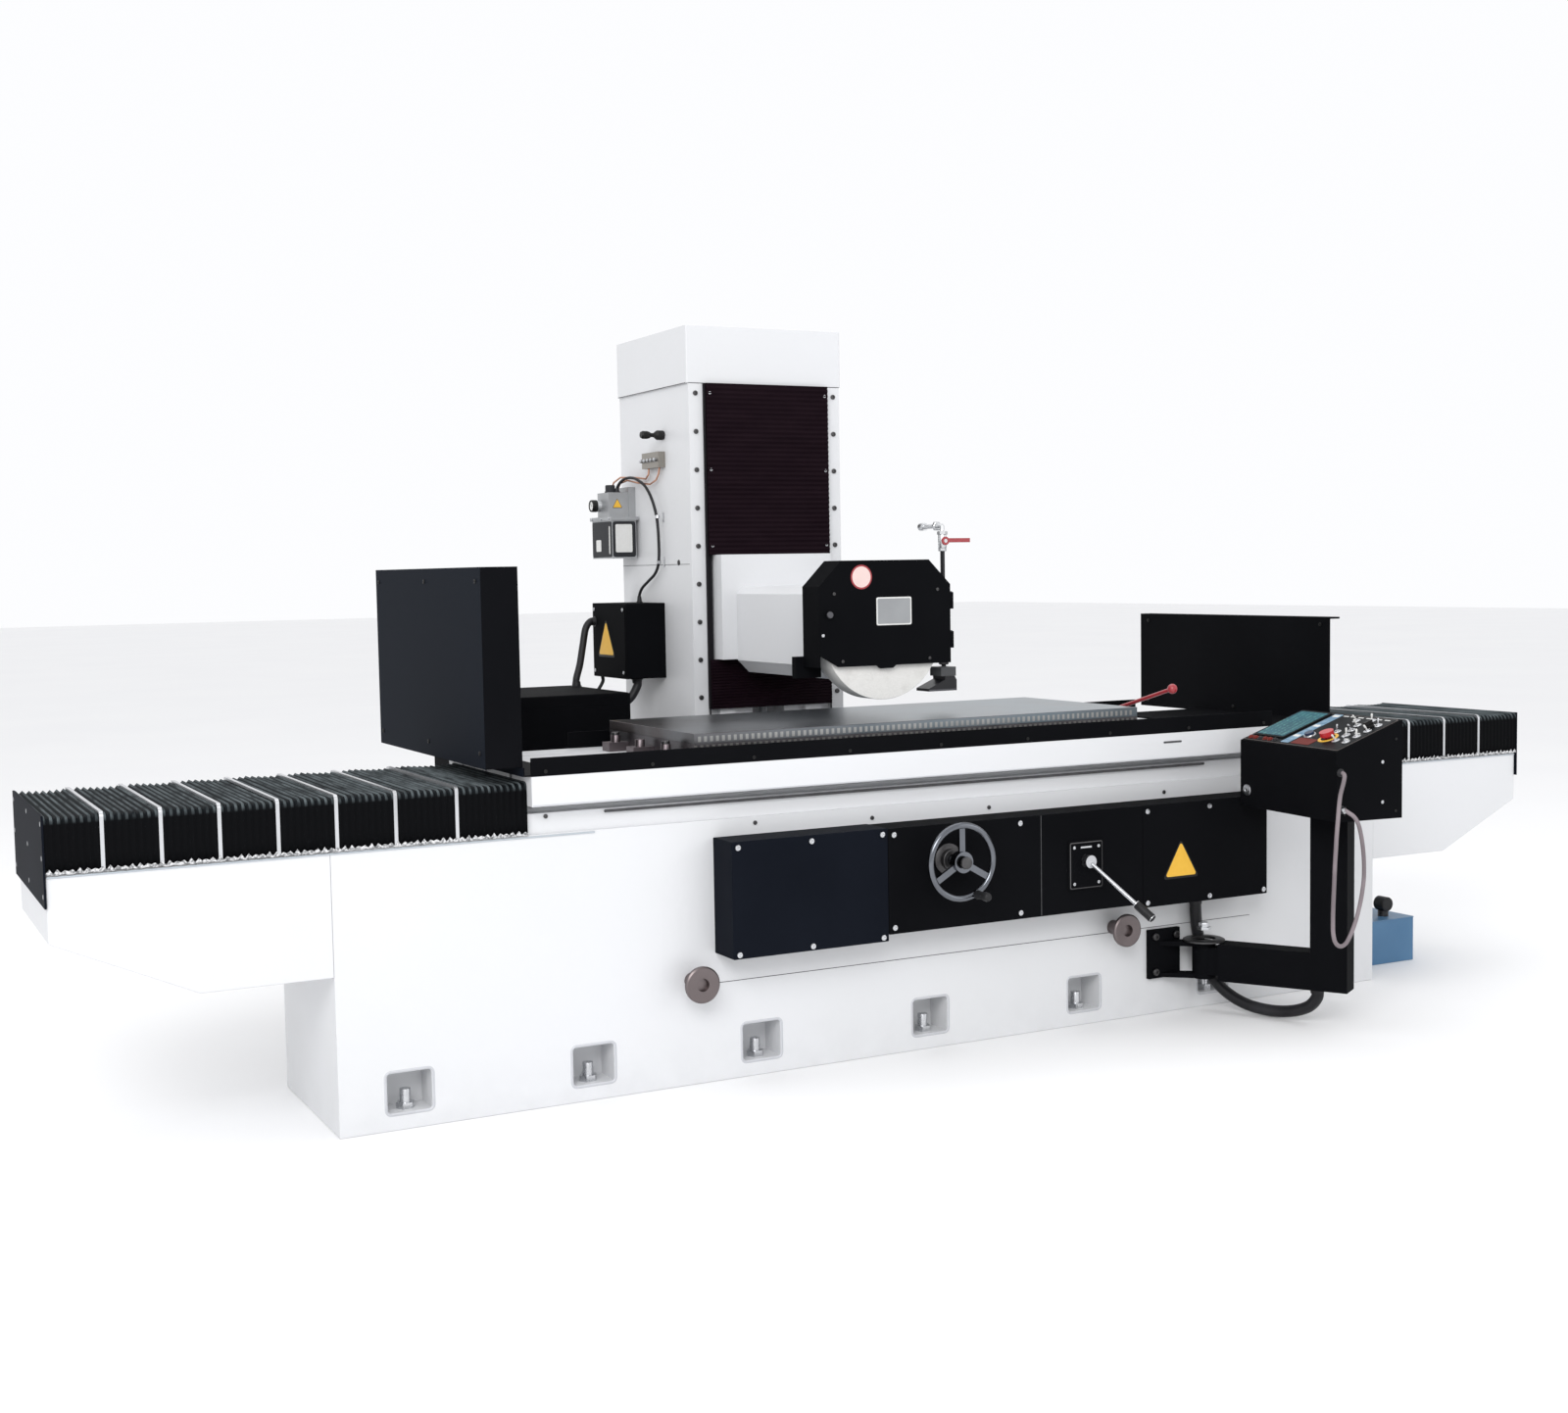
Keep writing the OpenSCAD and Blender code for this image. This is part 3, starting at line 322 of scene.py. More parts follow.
def dress(name, finish, edge=0.0):
    """Gives a CAD node its finish and, on a box-like one, breaks its sharp edges by a small radius."""
    node = nodes[name]
    node.data.materials.clear()
    node.data.materials.append(finish)
    if edge:
        weld = node.modifiers.new("weld", "WELD")
        weld.merge_threshold = 1e-6
        bevel = node.modifiers.new("edge", "BEVEL")
        bevel.width = edge / 1000
        bevel.segments = 2
        bevel.limit_method = "ANGLE"
        bevel.angle_limit = math.radians(40)
        bevel.use_clamp_overlap = True
        bevel.harden_normals = True


for name, edge in (("bed", 3), ("bed_wings", 3), ("cross_base", 5), ("column", 3), ("column_saddle", 4),
                   ("column_cap", 4), ("head_casting", 4), ("table", 1.5)):
    dress(name, white, edge)


# ---- Bed trim ----
# Two lengths of the bed's front are joined along a caulked seam, and a wiper slot under the table is drawn
# as a dark strip of painted shadow. The feet of the bed hold seven levelling pockets a side, each with a cast
# rim.
def slab(name, outline, origin, u, v, thick, finish, edge=0.6, body="base", segments=2):
    """A plate: an outline in millimetres along u and v, thickened along u x v, with its edges rounded."""
    u, v = (np.asarray(a, float) / np.linalg.norm(a) for a in (u, v))
    outline = np.asarray(outline, float)
    flat = outline[:, :1] * u + outline[:, 1:] * v + np.asarray(origin, float)
    count = len(flat)
    points = np.vstack([flat, flat + np.cross(u, v) * thick]) / 1000
    sides = [(k, (k + 1) % count, (k + 1) % count + count, k + count) for k in range(count)]
    made = piece(name, points, [tuple(range(count)), tuple(range(count, 2 * count)), *sides], finish)
    if edge:
        bevel = made.modifiers.new("edge", "BEVEL")
        bevel.width, bevel.segments = edge / 1000, segments
        bevel.limit_method, bevel.angle_limit = "ANGLE", math.radians(40)
        bevel.harden_normals = True
    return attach(made, body)


def rounded(wide, high, radius, arc=6):
    """The outline of a rectangle about its centre, its corners quarter circles."""
    turn = np.linspace(0, np.pi / 2, arc)
    quarter = np.stack([np.cos(turn), np.sin(turn)], -1) * radius
    spots = ((1, 1, 0), (-1, 1, 1), (-1, -1, 2), (1, -1, 3))
    corners = []
    for sx, sy, k in spots:
        c, s = (1, 0, -1, 0)[k], (0, 1, 0, -1)[k]
        bend = quarter @ np.array([[c, s], [-s, c]])
        corners.append(bend + (sx * (wide / 2 - radius), sy * (high / 2 - radius)))
    return np.vstack(corners)


shadow_gap = Finish("shadow_gap", "black_paint", Roughness=0.8)
gap_tone = shadow_gap.mix(shadow_gap.noise(30), (0.03, 0.03, 0.032), (0.09, 0.09, 0.095))
shadow_gap = shadow_gap.set(gap_tone)
front, back = (1, 0, 0), (-1, 0, 0)
up = (0, 0, 1)
slab("bed_seam", rounded(1880, 1.6, 0.7), (260, -316, 272), front, up, 0.7, shadow_gap, 0)
# The wiper slots are dark strips of painted shadow on the bed's faces.
slab("wiper_slot", rounded(2022, 8, 3), (7, -316, 769), front, up, 0.8, shadow_gap, 0)
slab("rear_wiper_slot", rounded(2022, 8, 3), (7, 248, 769), back, up, 0.8, shadow_gap, 0)

rim_paint = enamel("pocket_rim_enamel", (0.50, 0.51, 0.54), floor_darkening=0.3)
pocket_rim = rounded(132, 118, 18)
inner_rim = rounded(116, 102, 10)
for k, x in enumerate((-1550, -1050, -550, 0, 550, 1050, 1550)):
    for face, y, out in (("front", -316, -1), ("rear", 248, 1)):
        ring = np.stack([inner_rim, (inner_rim + pocket_rim) / 2, pocket_rim])
        lift = np.array([-1.0, 1.6, 0.05])[:, None]
        depth = y + out * np.broadcast_to(lift, ring.shape[:2])
        shape = np.stack([x + ring[..., 0], depth, 95 + ring[..., 1]], -1)
        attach(surface(f"pocket_rim_{face}_{k}", shape / 1000, rim_paint, along=True), "base")


# ---- Screws, bolts and studs ----
# Bright socket-head screws hold the covers and strips, hexagon bolts the pendant's bracket, and large
# turned studs for lifting stand out of the bed.
def metal(name, colour, rough, brushed=(1, 1, 1), scale=120, wear=0.08, depth=0.0001, slot="bright_steel"):
    """Bare metal: its grain runs along the axis in which brushed is smallest."""
    bare = Finish(name, slot, Metallic=1.0)
    grain = bare.noise(scale, 3, brushed)
    smear = bare.noise(7, 3)
    tone = bare.mix(smear.ramp(0.3, 0.75), colour, [c * 0.78 for c in colour])
    return bare.set(tone, rough + grain * wear + smear * 0.08, grain, depth)


bright = metal("bright_steel", (0.62, 0.63, 0.65), 0.2)
dark_steel = metal("dark_steel", (0.10, 0.098, 0.10), 0.34, slot="dark_steel")
socket_black = rubber("socket_shadow", (0.006, 0.006, 0.006), "black_plastic")


def screw(name, place, out, radius, body, finish=bright, tall=4.0):
    """A socket-head screw: a domed head with a round recess in its top. Returns the piece."""
    r = radius
    head = [(0, 0.45 * tall), (0.45 * r, 0.45 * tall), (0.5 * r, tall), (0.86 * r, tall),
            (0.97 * r, 0.88 * tall), (r, 0.7 * tall), (r, 0), (0, 0)]
    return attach(turned(name, head, place, out, finish, 18), body)


cover_screws = []
for x in (-670, -446, -222):
    cover_screws += [(x, 367), (x, 657)]
for x in (-185, 240):
    cover_screws += [(x, 391), (x, 653)]
for x in (702, 940, 1155):
    cover_screws += [(x, 375), (x, 653)]
for k, (x, z) in enumerate(cover_screws):
    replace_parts(screw(f"cover_screw_{k}", (x, -431, z), (0, -1, 0), 8, "base"), "cover_screws")
for k, (x, z) in enumerate(((-1164, 766), (-559, 704), (-187, 689), (210, 690), (858, 690), (1190, 700))):
    screw(f"bed_screw_{k}", (x, -316 + (10 if z > 721 else 0), z), (0, -1, 0), 6, "base", dark_steel, 3)

bolt_zs = [2004 - 32 - 123.5 * k for k in range(9)]
for k, z in enumerate(bolt_zs):
    for side, x in (("left", -254.5), ("right", 254.5)):
        bolt = screw(f"strip_bolt_{side}_{k}", (x, 668, z), (0, -1, 0), 8, "column_body", dark_steel, 5)
        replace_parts(bolt, "column_bolts")

stud_profile = [(0, 60), (16, 60), (18, 74), (46, 76), (50, 73), (50, 64), (46, 61), (22, 60), (21.8, 0),
                (0, 0)]
stud_steel = metal("stud_steel", (0.20, 0.17, 0.17), 0.32, slot="dark_steel")
for k, x in enumerate((-760, 660)):
    for face, y, out in (("front", -316, -1), ("rear", 248, 1)):
        stud = turned(f"lifting_stud_{face}_{k}", stud_profile, (x, y, 288), (0, out, 0), stud_steel)
        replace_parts(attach(stud, "base"), "lifting_studs")
dress("levelling_screws", bright, 0.6)

# ---- Black sheet-metal covers ----
# Covers, guards, cabinet, boxes and the pendant are folded steel sheet in black texture paint. The paint
# is a fine stipple, smudged a little lighter in patches, and on the left splash guard the faces that look
# left are painted bluish as painted light.
def texture_paint(name, colour, painted_left_light=None, stipple=700, rough=0.6, slot="black_paint"):
    """Stoved texture paint: a fine stipple and a smudged tone, with painted light: bluish where a face looks
    left.
    """
    paint = Finish(name, slot, Specular_IOR_Level=0.05)
    grain = paint.noise(stipple, 2)
    smudge = paint.noise(2.2, 4).ramp(0.35, 0.75)
    tone = paint.mix(smudge, colour, [c * 1.35 + 0.001 for c in colour])
    # Faces that look left take the given bluish colour: painted light, not a change of paint.
    if painted_left_light is not None:
        facing = paint.node("ShaderNodeTexCoord", {}, {}, "Normal")
        painted_light_side = paint.node("ShaderNodeSeparateXYZ", {}, {0: facing}, "X")
        tone = paint.mix(painted_light_side.ramp(-0.4, -0.9), tone, painted_left_light)
    return paint.set(tone, rough + grain * 0.12, grain, 0.00022)


black = texture_paint("black_paint", (0.0020, 0.0022, 0.0030), rough=0.7)
# The splash guard's faces that look left are painted bluish and lighter: painted light.
guard_black_and_painted_light = texture_paint("guard_paint_and_painted_light", (0.0020, 0.0022, 0.0032), (0.0050, 0.0075, 0.0130))
navy = texture_paint("blue_black_paint", (0.0035, 0.0048, 0.0085))
for name, edge in (("control_panel", 2), ("electrical_cover", 2), ("rear_cabinet", 3),
                   ("arm_bracket", 1.5), ("right_splash_guard", 1), ("splash_band", 0.8),
                   ("junction_box", 2.5), ("wheel_guard", 1.5), ("guard_door", 1), ("console_box", 1.5),
                   ("pendant_arm", 2), ("cross_motor", 3)):
    dress(name, black, edge)
dress("left_front_cover", navy, 2)
dress("left_splash_guard", guard_black_and_painted_light, 1.6)

# The screw heads of the end plates are bright discs in the paint.
plate_paint = Finish("end_plate_paint", "black_paint", Specular_IOR_Level=0.05)
head_r = 0.006
heads = 0
for y in (-0.300, -0.010, 0.285):
    for z in (0.670, 0.760, 0.840):
        off_y, off_z = plate_paint.y - y, plate_paint.z - z
        heads = heads + (off_y * off_y + off_z * off_z < head_r * head_r)
faded = plate_paint.noise(2.2, 4).ramp(0.35, 0.75)
tone = plate_paint.mix(faded, (0.0035, 0.0048, 0.0085), (0.0055, 0.0072, 0.012))
tone = plate_paint.mix(heads, tone, (0.50, 0.51, 0.53))
dress("bellows_end_plates", plate_paint.set(tone, 0.65 - heads * 0.3, heads, 0.0006), 1)

# ---- Table way covers ----
# Bellows of coated cloth folded into narrow pleats, with a bright stay frame between every two packs. On the
# machine they are glued to the end plates and to the table, so they open and close as the table travels.


def pleated_cloth(name, x0, pitch):
    """Coated cloth whose top is painted lighter as light from above, and whose ridges, one every pitch from
    x0 in metres, are lighter still on top in patches: partly worn cloth, partly a painted highlight.
    """
    cloth = Finish(name, "bellows_cloth", Specular_IOR_Level=0.04)
    weave = cloth.noise(1400, 1)
    fold = ((cloth.x - x0) * (1 / pitch)) % 1.0
    ridge = (fold < 0.2) + (fold > 0.8)
    # Patchy lighter ridges on the top: partly wear, partly a painted highlight where light catches the folds.
    ridge_highlight_and_wear = cloth.noise(45, 4, (1, 0.2, 1)).ramp(0.25, 0.65) * cloth.z.ramp(0.838, 0.852)
    # The top of the hood is painted lighter than its sides: painted light from above.
    tone = cloth.mix(cloth.z.ramp(0.838, 0.852), (0.0024, 0.0026, 0.0032), (0.010, 0.0125, 0.0145))
    tone = cloth.mix(ridge * ridge_highlight_and_wear, tone, (0.100, 0.118, 0.125))
    return cloth.set(tone, 0.6 + weave * 0.1, weave, 0.0001)


stay_metal = metal("stay_metal", (0.66, 0.67, 0.69), 0.32)


def hood(side, crown, low=727, front_y=-322, back_y=302, top=861, shoulder=14):
    """The cross section of a way cover in millimetres: up the front, over two round shoulders, down the back.
    Its sides are sunk by side, its top by crown."""
    turn = np.linspace(0, np.pi / 2, 7)
    y0, y1, z1 = front_y + side, back_y - side, top - crown
    rise = np.linspace(low, z1 - shoulder, 4)[:-1]
    left = np.stack([y0 + shoulder * (1 - np.cos(turn)), z1 - shoulder * (1 - np.sin(turn))], -1)
    flat = np.linspace(y0 + shoulder, y1 - shoulder, 13)[1:-1]
    half = np.vstack([np.stack([np.full(3, y0), rise], -1), left, np.stack([flat, np.full(11, z1)], -1)])
    mirrored = np.vstack([half[:10]])[::-1] * (-1, 1) + (y0 + y1, 0)
    return np.vstack([half, mirrored])


def way_cover(name, x0, x1, pitch, depth, finish, replaced):
    """Pleats: the hood's section carried along X, sunk by depth at every second station. The wall is one
    sheet given a thickness inwards."""
    folds = int(round(abs(x1 - x0) / pitch))
    stations = np.linspace(x0, x1, 2 * folds + 1)
    sections = np.stack([hood(0, 0), hood(2.2, depth)])
    grid = sections[np.arange(len(stations)) % 2]
    sag = 4.0 * np.sin(np.pi * np.linspace(0, 8, len(stations)) % np.pi)
    grid = np.concatenate([np.broadcast_to(stations[:, None, None], (*grid.shape[:2], 1)), grid], 2)
    grid[..., 2] -= sag[:, None] * np.clip((grid[..., 2] - 820) / 30, 0, 1)
    made = surface(name, grid / 1000, finish, sharp=20)
    wall = made.modifiers.new("wall", "SOLIDIFY")
    wall.thickness, wall.offset = 0.0012, 0
    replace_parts(made, replaced)
    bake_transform(made)
    return made


def stay(name, x):
    """A stay frame: a flat strip that follows the hood, 9 mm wide and a little proud of the pleats."""
    outline = hood(-1.4, -1.2)
    inner = hood(1.5, 6)
    loop = np.stack([outline, outline, inner, inner])
    xs = np.array([x - 4.5, x + 4.5, x + 4.5, x - 4.5])[:, None, None]
    grid = np.concatenate([np.broadcast_to(xs, (*loop.shape[:2], 1)), loop], 2)
    made = surface(name, grid / 1000, stay_metal, around=True)
    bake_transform(made)


left_x, right_x = (-2389.7, -1219.3), (1257.3, 2389.7)
left_ends = ("base", "table_body", (left_x[0] / 1000, 0, 0.8), (left_x[1] / 1000, 0, 0.8))
right_ends = ("base", "table_body", (right_x[1] / 1000, 0, 0.8), (right_x[0] / 1000, 0, 0.8))
left_cloth = pleated_cloth("left_cloth", -2.3897, 0.01672)
right_cloth = pleated_cloth("right_cloth", 2.3897, 0.016653)
way_cover("left_way_cover", left_x[0], left_x[1], 16.7, 9, left_cloth, "left_bellows")
way_cover("right_way_cover", right_x[1], right_x[0], 16.7, 9, right_cloth, "right_bellows")


def fringe(name, x0, x1, pitch, ends):
    """The cut lower edge of the cloth: a tooth at every second station, in and out with the folds."""
    folds = int(round(abs(x1 - x0) / pitch))
    k = np.arange(2 * folds + 1)
    xs = np.linspace(x0, x1, len(k))
    tooth = np.where(k % 2, 734.0, 726.0) + 2.5 * np.sin(k * 2.3)
    low = np.stack([xs, np.full(len(k), -322.6), 721.5 + 1.5 * np.sin(k * 1.7)], -1)
    high = np.stack([xs, np.where(k % 2, -325.4, -323.0), tooth], -1)
    made = surface(name, np.stack([low, high]) / 1000, fringe_grey)
    wall = made.modifiers.new("wall", "SOLIDIFY")
    wall.thickness = 0.0008
    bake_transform(made)


fringe_grey = Finish("fringe_grey", "bellows_cloth", Roughness=0.7)
thread_tone = fringe_grey.noise(160, 2).ramp(0.4, 0.6)
fringe_grey = fringe_grey.set(fringe_grey.mix(thread_tone, (0.16, 0.165, 0.17), (0.66, 0.66, 0.67)))
fringe("left_cover_fringe", *left_x, 16.7, left_ends)
fringe("right_cover_fringe", *right_x[::-1], 16.7, right_ends)
ledge_blue = enamel("ledge_enamel", (0.40, 0.44, 0.48))
for side, x in (("left", -1710), ("right", 1822)):
    slab(f"way_ledge_{side}", rounded(1356 if side == "left" else 1130, 4, 1), (x, -316, 716), front, up, 3,
         ledge_blue, 0.5)
for k in range(1, 8):
    stay(f"left_stay_{k}", -1219 - 1174 * (k / 8) ** 0.88)
for k in range(1, 7):
    stay(f"right_stay_{k}", 2370.6 - 162.3 * k)

# ---- Table and magnetic chuck ----
# The chuck is ground steel with narrow pole pieces parted by brass, and it is held by clamps in the T-slots.
# Its top has the long fine scratches of a ground face and a painted reflection, dark reddish at the left end
# and bluish towards the right.
chuck_steel = Finish("chuck_steel", "ground_steel", Metallic=1.0)
scratch = chuck_steel.noise(420, 2, (0.02, 1, 1))
stain = chuck_steel.noise(3.2, 4)
on_top = chuck_steel.z > 0.9555
pole = (chuck_steel.y % 0.012) < 0.0028
pole = pole * on_top * (chuck_steel.x.ramp(-0.70, -0.695) * chuck_steel.x.ramp(0.738, 0.733))
# Painted reflection: the top runs from dark reddish at the left end to bluish towards the right.
painted_reflection_tone = chuck_steel.mix(chuck_steel.x.ramp(-0.75, 0.1), (0.085, 0.070, 0.070), (0.17, 0.215, 0.245))
tone = chuck_steel.mix(stain.ramp(0.35, 0.7), painted_reflection_tone, (0.22, 0.235, 0.25))
tone = chuck_steel.mix(pole * 0.5, tone, (0.07, 0.06, 0.06))
chuck_steel = chuck_steel.set(tone, 0.20 + scratch * 0.14 + stain * 0.08, scratch, 0.00008)
dress("chuck_pole_plate", chuck_steel, 1)

pole_front = Finish("chuck_side_steel", "ground_steel", Metallic=1.0)
side_grain = pole_front.noise(300, 3, (0.05, 1, 1))
block = ((pole_front.x + 0.731) % 0.018) < 0.009
band = (pole_front.z > 0.907) * (pole_front.z < 0.925)
tone = pole_front.mix(side_grain.ramp(0.3, 0.7), (0.10, 0.095, 0.10), (0.17, 0.165, 0.175))
tone = pole_front.mix(block * band, tone, (0.30, 0.29, 0.28))
dress("chuck_base", pole_front.set(tone, 0.3 + side_grain * 0.12, side_grain, 0.0001), 1)
dress("chuck_clamps", metal("clamp_steel", (0.20, 0.17, 0.18), 0.3), 1)
for k, x in enumerate((-762, 800)):
    for y in (-180, 180):
        screw(f"clamp_bolt_{k}_{y}", (x, y, 923), (0, 0, 1), 12, "table_body", dark_steel, 9)

pole_piece = metal("pole_piece_steel", (0.40, 0.40, 0.39), 0.3, slot="ground_steel")
tile = rounded(9, 15, 0.8, 3)
tile_xs = np.arange(-715, 760, 18.0)
points = np.concatenate([np.stack([x + tile[:, 0], np.full(len(tile), -300.6), 941.5 + tile[:, 1]], -1)
                         for x in tile_xs]) / 1000
tile_faces = (np.arange(len(tile_xs))[:, None] * len(tile) + np.arange(len(tile))).tolist()
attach(piece("chuck_pole_pieces", points, tile_faces, pole_piece), "table_body")

slab("table_slot_mark", rounded(70, 6, 3), (858, -359, 849), front, up, 0.8, shadow_gap, 0, "table_body")
slab("table_drip_edge", rounded(2472, 3, 1), (19, -359, 801), front, up, 1.5, rim_paint, 0.4, "table_body")

# ---- Splash guards ----
# Folded sheet boxes at both ends of the table stop the coolant. Their seams are spot welded and their
# edges are turned over, and round screws hold them to the table.
for k, (y, z) in enumerate(((-300, 940), (-300, 1380), (590, 940), (590, 1380), (140, 1380), (140, 940))):
    screw(f"left_guard_screw_{k}", (-1334, y, z), (-1, 0, 0), 6, "table_body", socket_black, 3)
for k, (y, z) in enumerate(((-300, 900), (120, 900), (580, 900), (-300, 1190), (580, 1190))):
    screw(f"right_guard_screw_{k}", (1513, y, z), (-1, 0, 0), 6, "table_body", socket_black, 3)
for k, x in enumerate(np.linspace(-1180, 1220, 9)):
    screw(f"splash_band_screw_{k}", (x, -359, 889), (0, -1, 0), 5, "table_body", socket_black, 2.5)

# ---- Chuck lever ----
# A turned steel rod with a red ball on its end switches the chuck. The ball is moulded on, with a short
# collar where the rod enters it.
lever_red = Finish("red_handle", "red_paint", Roughness=0.32, Coat_Weight=0.3)
shade = lever_red.noise(60, 3)
lever_red = lever_red.set(lever_red.mix(shade, (0.24, 0.012, 0.02), (0.33, 0.022, 0.03)))
dress("chuck_lever", lever_red)

# ---- Column ----
# The column's front carries a bolted white strip on each side of the way covers, and its side has cast-in
# joints and a hinge line. The cap is a separate sheet-metal box.
edge_shadow = texture_paint("strip_shadow", (0.012, 0.011, 0.013))
# Dark strips beside the white strips and along the way covers are painted shadow.
for side, x in (("left", -226.2), ("right", 226.2)):
    slab(f"strip_painted_shadow_{side}", rounded(3.6, 1236, 1), (x, 660.5, 1386), front, up, 4, edge_shadow, 0,
         "column_body")
    slab(f"way_painted_shadow_{side}", rounded(20, 1058, 1), (x * 0.952, 668, 1474.5), front, up, -2, edge_shadow, 0,
         "column_body")
slab("cap_joint_front", rounded(560, 2, 0.9), (0, 667.8, 2004.5), front, up, 0.9, shadow_gap, 0,
     "column_body")
slab("cap_joint_left", rounded(560, 2, 0.9), (-284.5, 957, 2005), (0, -1, 0), up, 0.9, shadow_gap, 0,
     "column_body")
slab("column_seam", rounded(556, 1.6, 0.7), (-278.5, 962, 1420), (0, -1, 0), up, 0.6, shadow_gap, 0,
     "column_body")
hole = [(0, 1), (7, 1), (9, 1.6), (9.5, 0), (0, 0)]
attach(turned("column_oil_hole", hole, (-278.5, 769, 1426), (-1, 0, 0), socket_black, 24), "column_body")

# ---- Head way covers ----
# Pleated dark cloth covers close the column's front above and below the wheelhead. On the machine they are
# screwed to the head's plate and to the column, and fold up as the head travels.
head_cloth = Finish("head_way_cloth", "way_bellows_cloth", Specular_IOR_Level=0.04)
thread = head_cloth.noise(1200, 1)
worn = head_cloth.noise(8, 4, (1, 1, 3)).ramp(0.35, 0.75)
head_cloth = head_cloth.set(
    head_cloth.mix(worn, (0.0068, 0.0028, 0.0050), (0.0098, 0.0045, 0.0072)),
    0.5 + thread * 0.1, thread, 0.0001)


def head_cover(name, z0, z1, pitch, replaced):
    """Flat pleats: x across, y in and out by 3 mm at every second station of z, with side walls behind."""
    folds = int(round((z1 - z0) / pitch))
    zs = np.linspace(z0, z1, 2 * folds + 1)
    face = np.where(np.arange(len(zs)) % 2, 648.6, 645.6)
    xs = np.array([-223.5, -223.5, -150.0, -75.0, 0.0, 75.0, 150.0, 223.5, 223.5])
    grid = np.empty((len(xs), len(zs), 3))
    grid[..., 0], grid[..., 2] = xs[:, None], zs[None]
    grid[..., 1] = face[None]
    grid[[0, -1], :, 1] = 661.0
    made = surface(name, grid / 1000, head_cloth, sharp=20)
    wall = made.modifiers.new("wall", "SOLIDIFY")
    wall.thickness, wall.offset = 0.0008, 0
    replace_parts(made, replaced)
    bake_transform(made)


head_cover("upper_head_cover", 1449.6, 2003.7, 15.4, "upper_way_bellows")
head_cover("lower_head_cover", 945.3, 1107.4, 9.6, "lower_way_bellows")
for k, z in enumerate(bolt_zs[:5:2]):
    for side, x in (("left", -212), ("right", 212)):
        screw(f"cover_edge_screw_{side}_{k}", (x, 649, z), (0, -1, 0), 5, "column_body", bright, 3)

# ---- Column fittings ----
# The lubricator is a cast pump with a gauge on a plastic reservoir, and a brass distributor feeds the ways
# through copper tubes. Saddles clip the tubes and the cable to the column.
pump_cast = metal("pump_aluminium", (0.47, 0.48, 0.49), 0.42, scale=300, slot="aluminium")
dress("lubricator", pump_cast, 2)
copper = Finish("copper_and_brass", "copper_tube", Metallic=1.0)
tarnish = copper.noise(90, 3)
tone = copper.mix(tarnish, (0.50, 0.24, 0.15), (0.64, 0.36, 0.25))
tone = copper.mix(copper.z > 1.7438, tone, (0.30, 0.28, 0.25))
dress("oil_distributor", copper.set(tone, 0.28 + tarnish * 0.15), 1)
for k, y in enumerate((878, 906, 934, 962, 990)):
    nut = [(0, 12), (4, 12), (7, 9), (7, 0), (0, 0)]
    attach(turned(f"oil_outlet_{k}", nut, (-304, y, 1770), (-1, 0, 0), bright, 6), "column_body")
dress("column_knob", socket_black)
reservoir_side = texture_paint("reservoir_plastic", (0.030, 0.031, 0.034), stipple=200, rough=0.35,
                               slot="black_plastic")
slab("reservoir_skin_left", rounded(172, 122, 8), (-380, 1181, 1511), (0, -1, 0), up, 1.6,
     reservoir_side, 0.6, "column_body")
slab("reservoir_skin_front", rounded(84, 122, 8), (-335, 1092, 1511), front, up, 1.6, reservoir_side, 0.6,
     "column_body")
label_white = Finish("label_white", "white_paint", Roughness=0.4)
mottle = label_white.noise(90, 3)
label_white = label_white.set(label_white.mix(mottle, (0.62, 0.62, 0.60), (0.70, 0.70, 0.69)))
slab("reservoir_label", rounded(62, 96, 5), (-337, 1090.4, 1514), front, up, 0.5, label_white, 0.2,
     "column_body")
slab("reservoir_side_label", rounded(44, 40, 4), (-381.6, 1210, 1490), (0, -1, 0), up, 0.5, label_white, 0.2,
     "column_body")
slab("reservoir_level_strip", rounded(8, 96, 4), (-381.6, 1110, 1508), (0, -1, 0), up, 1.2, label_white, 0.4,
     "column_body")
gauge_ring = [(0, 3), (15.5, 3), (16, 5), (19.5, 6), (20.8, 4), (21, 0), (21, -14), (19.5, -14), (19.5, 2),
              (0, 2)]
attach(turned("gauge_rim", gauge_ring, (-404, 1206, 1628), (-1, 0, 0), socket_black), "column_body")
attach(turned("gauge_face", [(0, 3.6), (15, 3.6), (15, 3), (0, 3)], (-404, 1206, 1628), (-1, 0, 0),
               label_white), "column_body")
slab("gauge_needle", [(-1, -2), (1, -2), (0.4, 12), (-0.4, 12)], (-407.8, 1206, 1628), (0, -1, 0.6),
     (0, 0.6, 1), 0.5, socket_black, 0, "column_body")
for k, (y, z) in enumerate(((1104, 1582), (1176, 1582), (1258, 1582))):
    screw(f"lubricator_screw_{k}", (-386, y, z), (-1, 0, 0), 5, "column_body", bright, 3)
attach(turned("pump_filler_cap", [(0, 26), (15, 26), (17, 23), (17, 6), (19, 4), (19, 0), (0, 0)],
               (-356, 1158, 1672), (0, 0, 1), reservoir_side), "column_body")

amber = Finish("amber_plate", Roughness=0.4)
fleck = amber.noise(60, 2)
amber = amber.set(amber.mix(fleck, (0.72, 0.40, 0.03), (0.80, 0.47, 0.05)))


def warning_plate(name, centre, u, v, size, body, depth=0.8):
    """A triangular plate with rounded corners and a dark border, with no picture on it."""
    corner = np.array([(-0.5, -0.433), (0.5, -0.433), (0.0, 0.433)])
    turn = np.radians(np.array([210.0, 330.0, 90.0]))
    arcs = turn[:, None] + np.radians(np.linspace(-60, 60, 7))
    spokes = np.stack([np.cos(arcs), np.sin(arcs)], -1)
    plate = ((corner * size * 0.86)[:, None] + spokes * 0.05 * size).reshape(-1, 2)
    slab(f"{name}_border", plate, centre, u, v, depth, socket_black, 0.2, body)
    lift = np.cross(np.asarray(u, float), np.asarray(v, float)) * depth
    slab(f"{name}_plate", plate * 0.87, np.asarray(centre) + lift, u, v, 0.5, amber, 0.15, body)


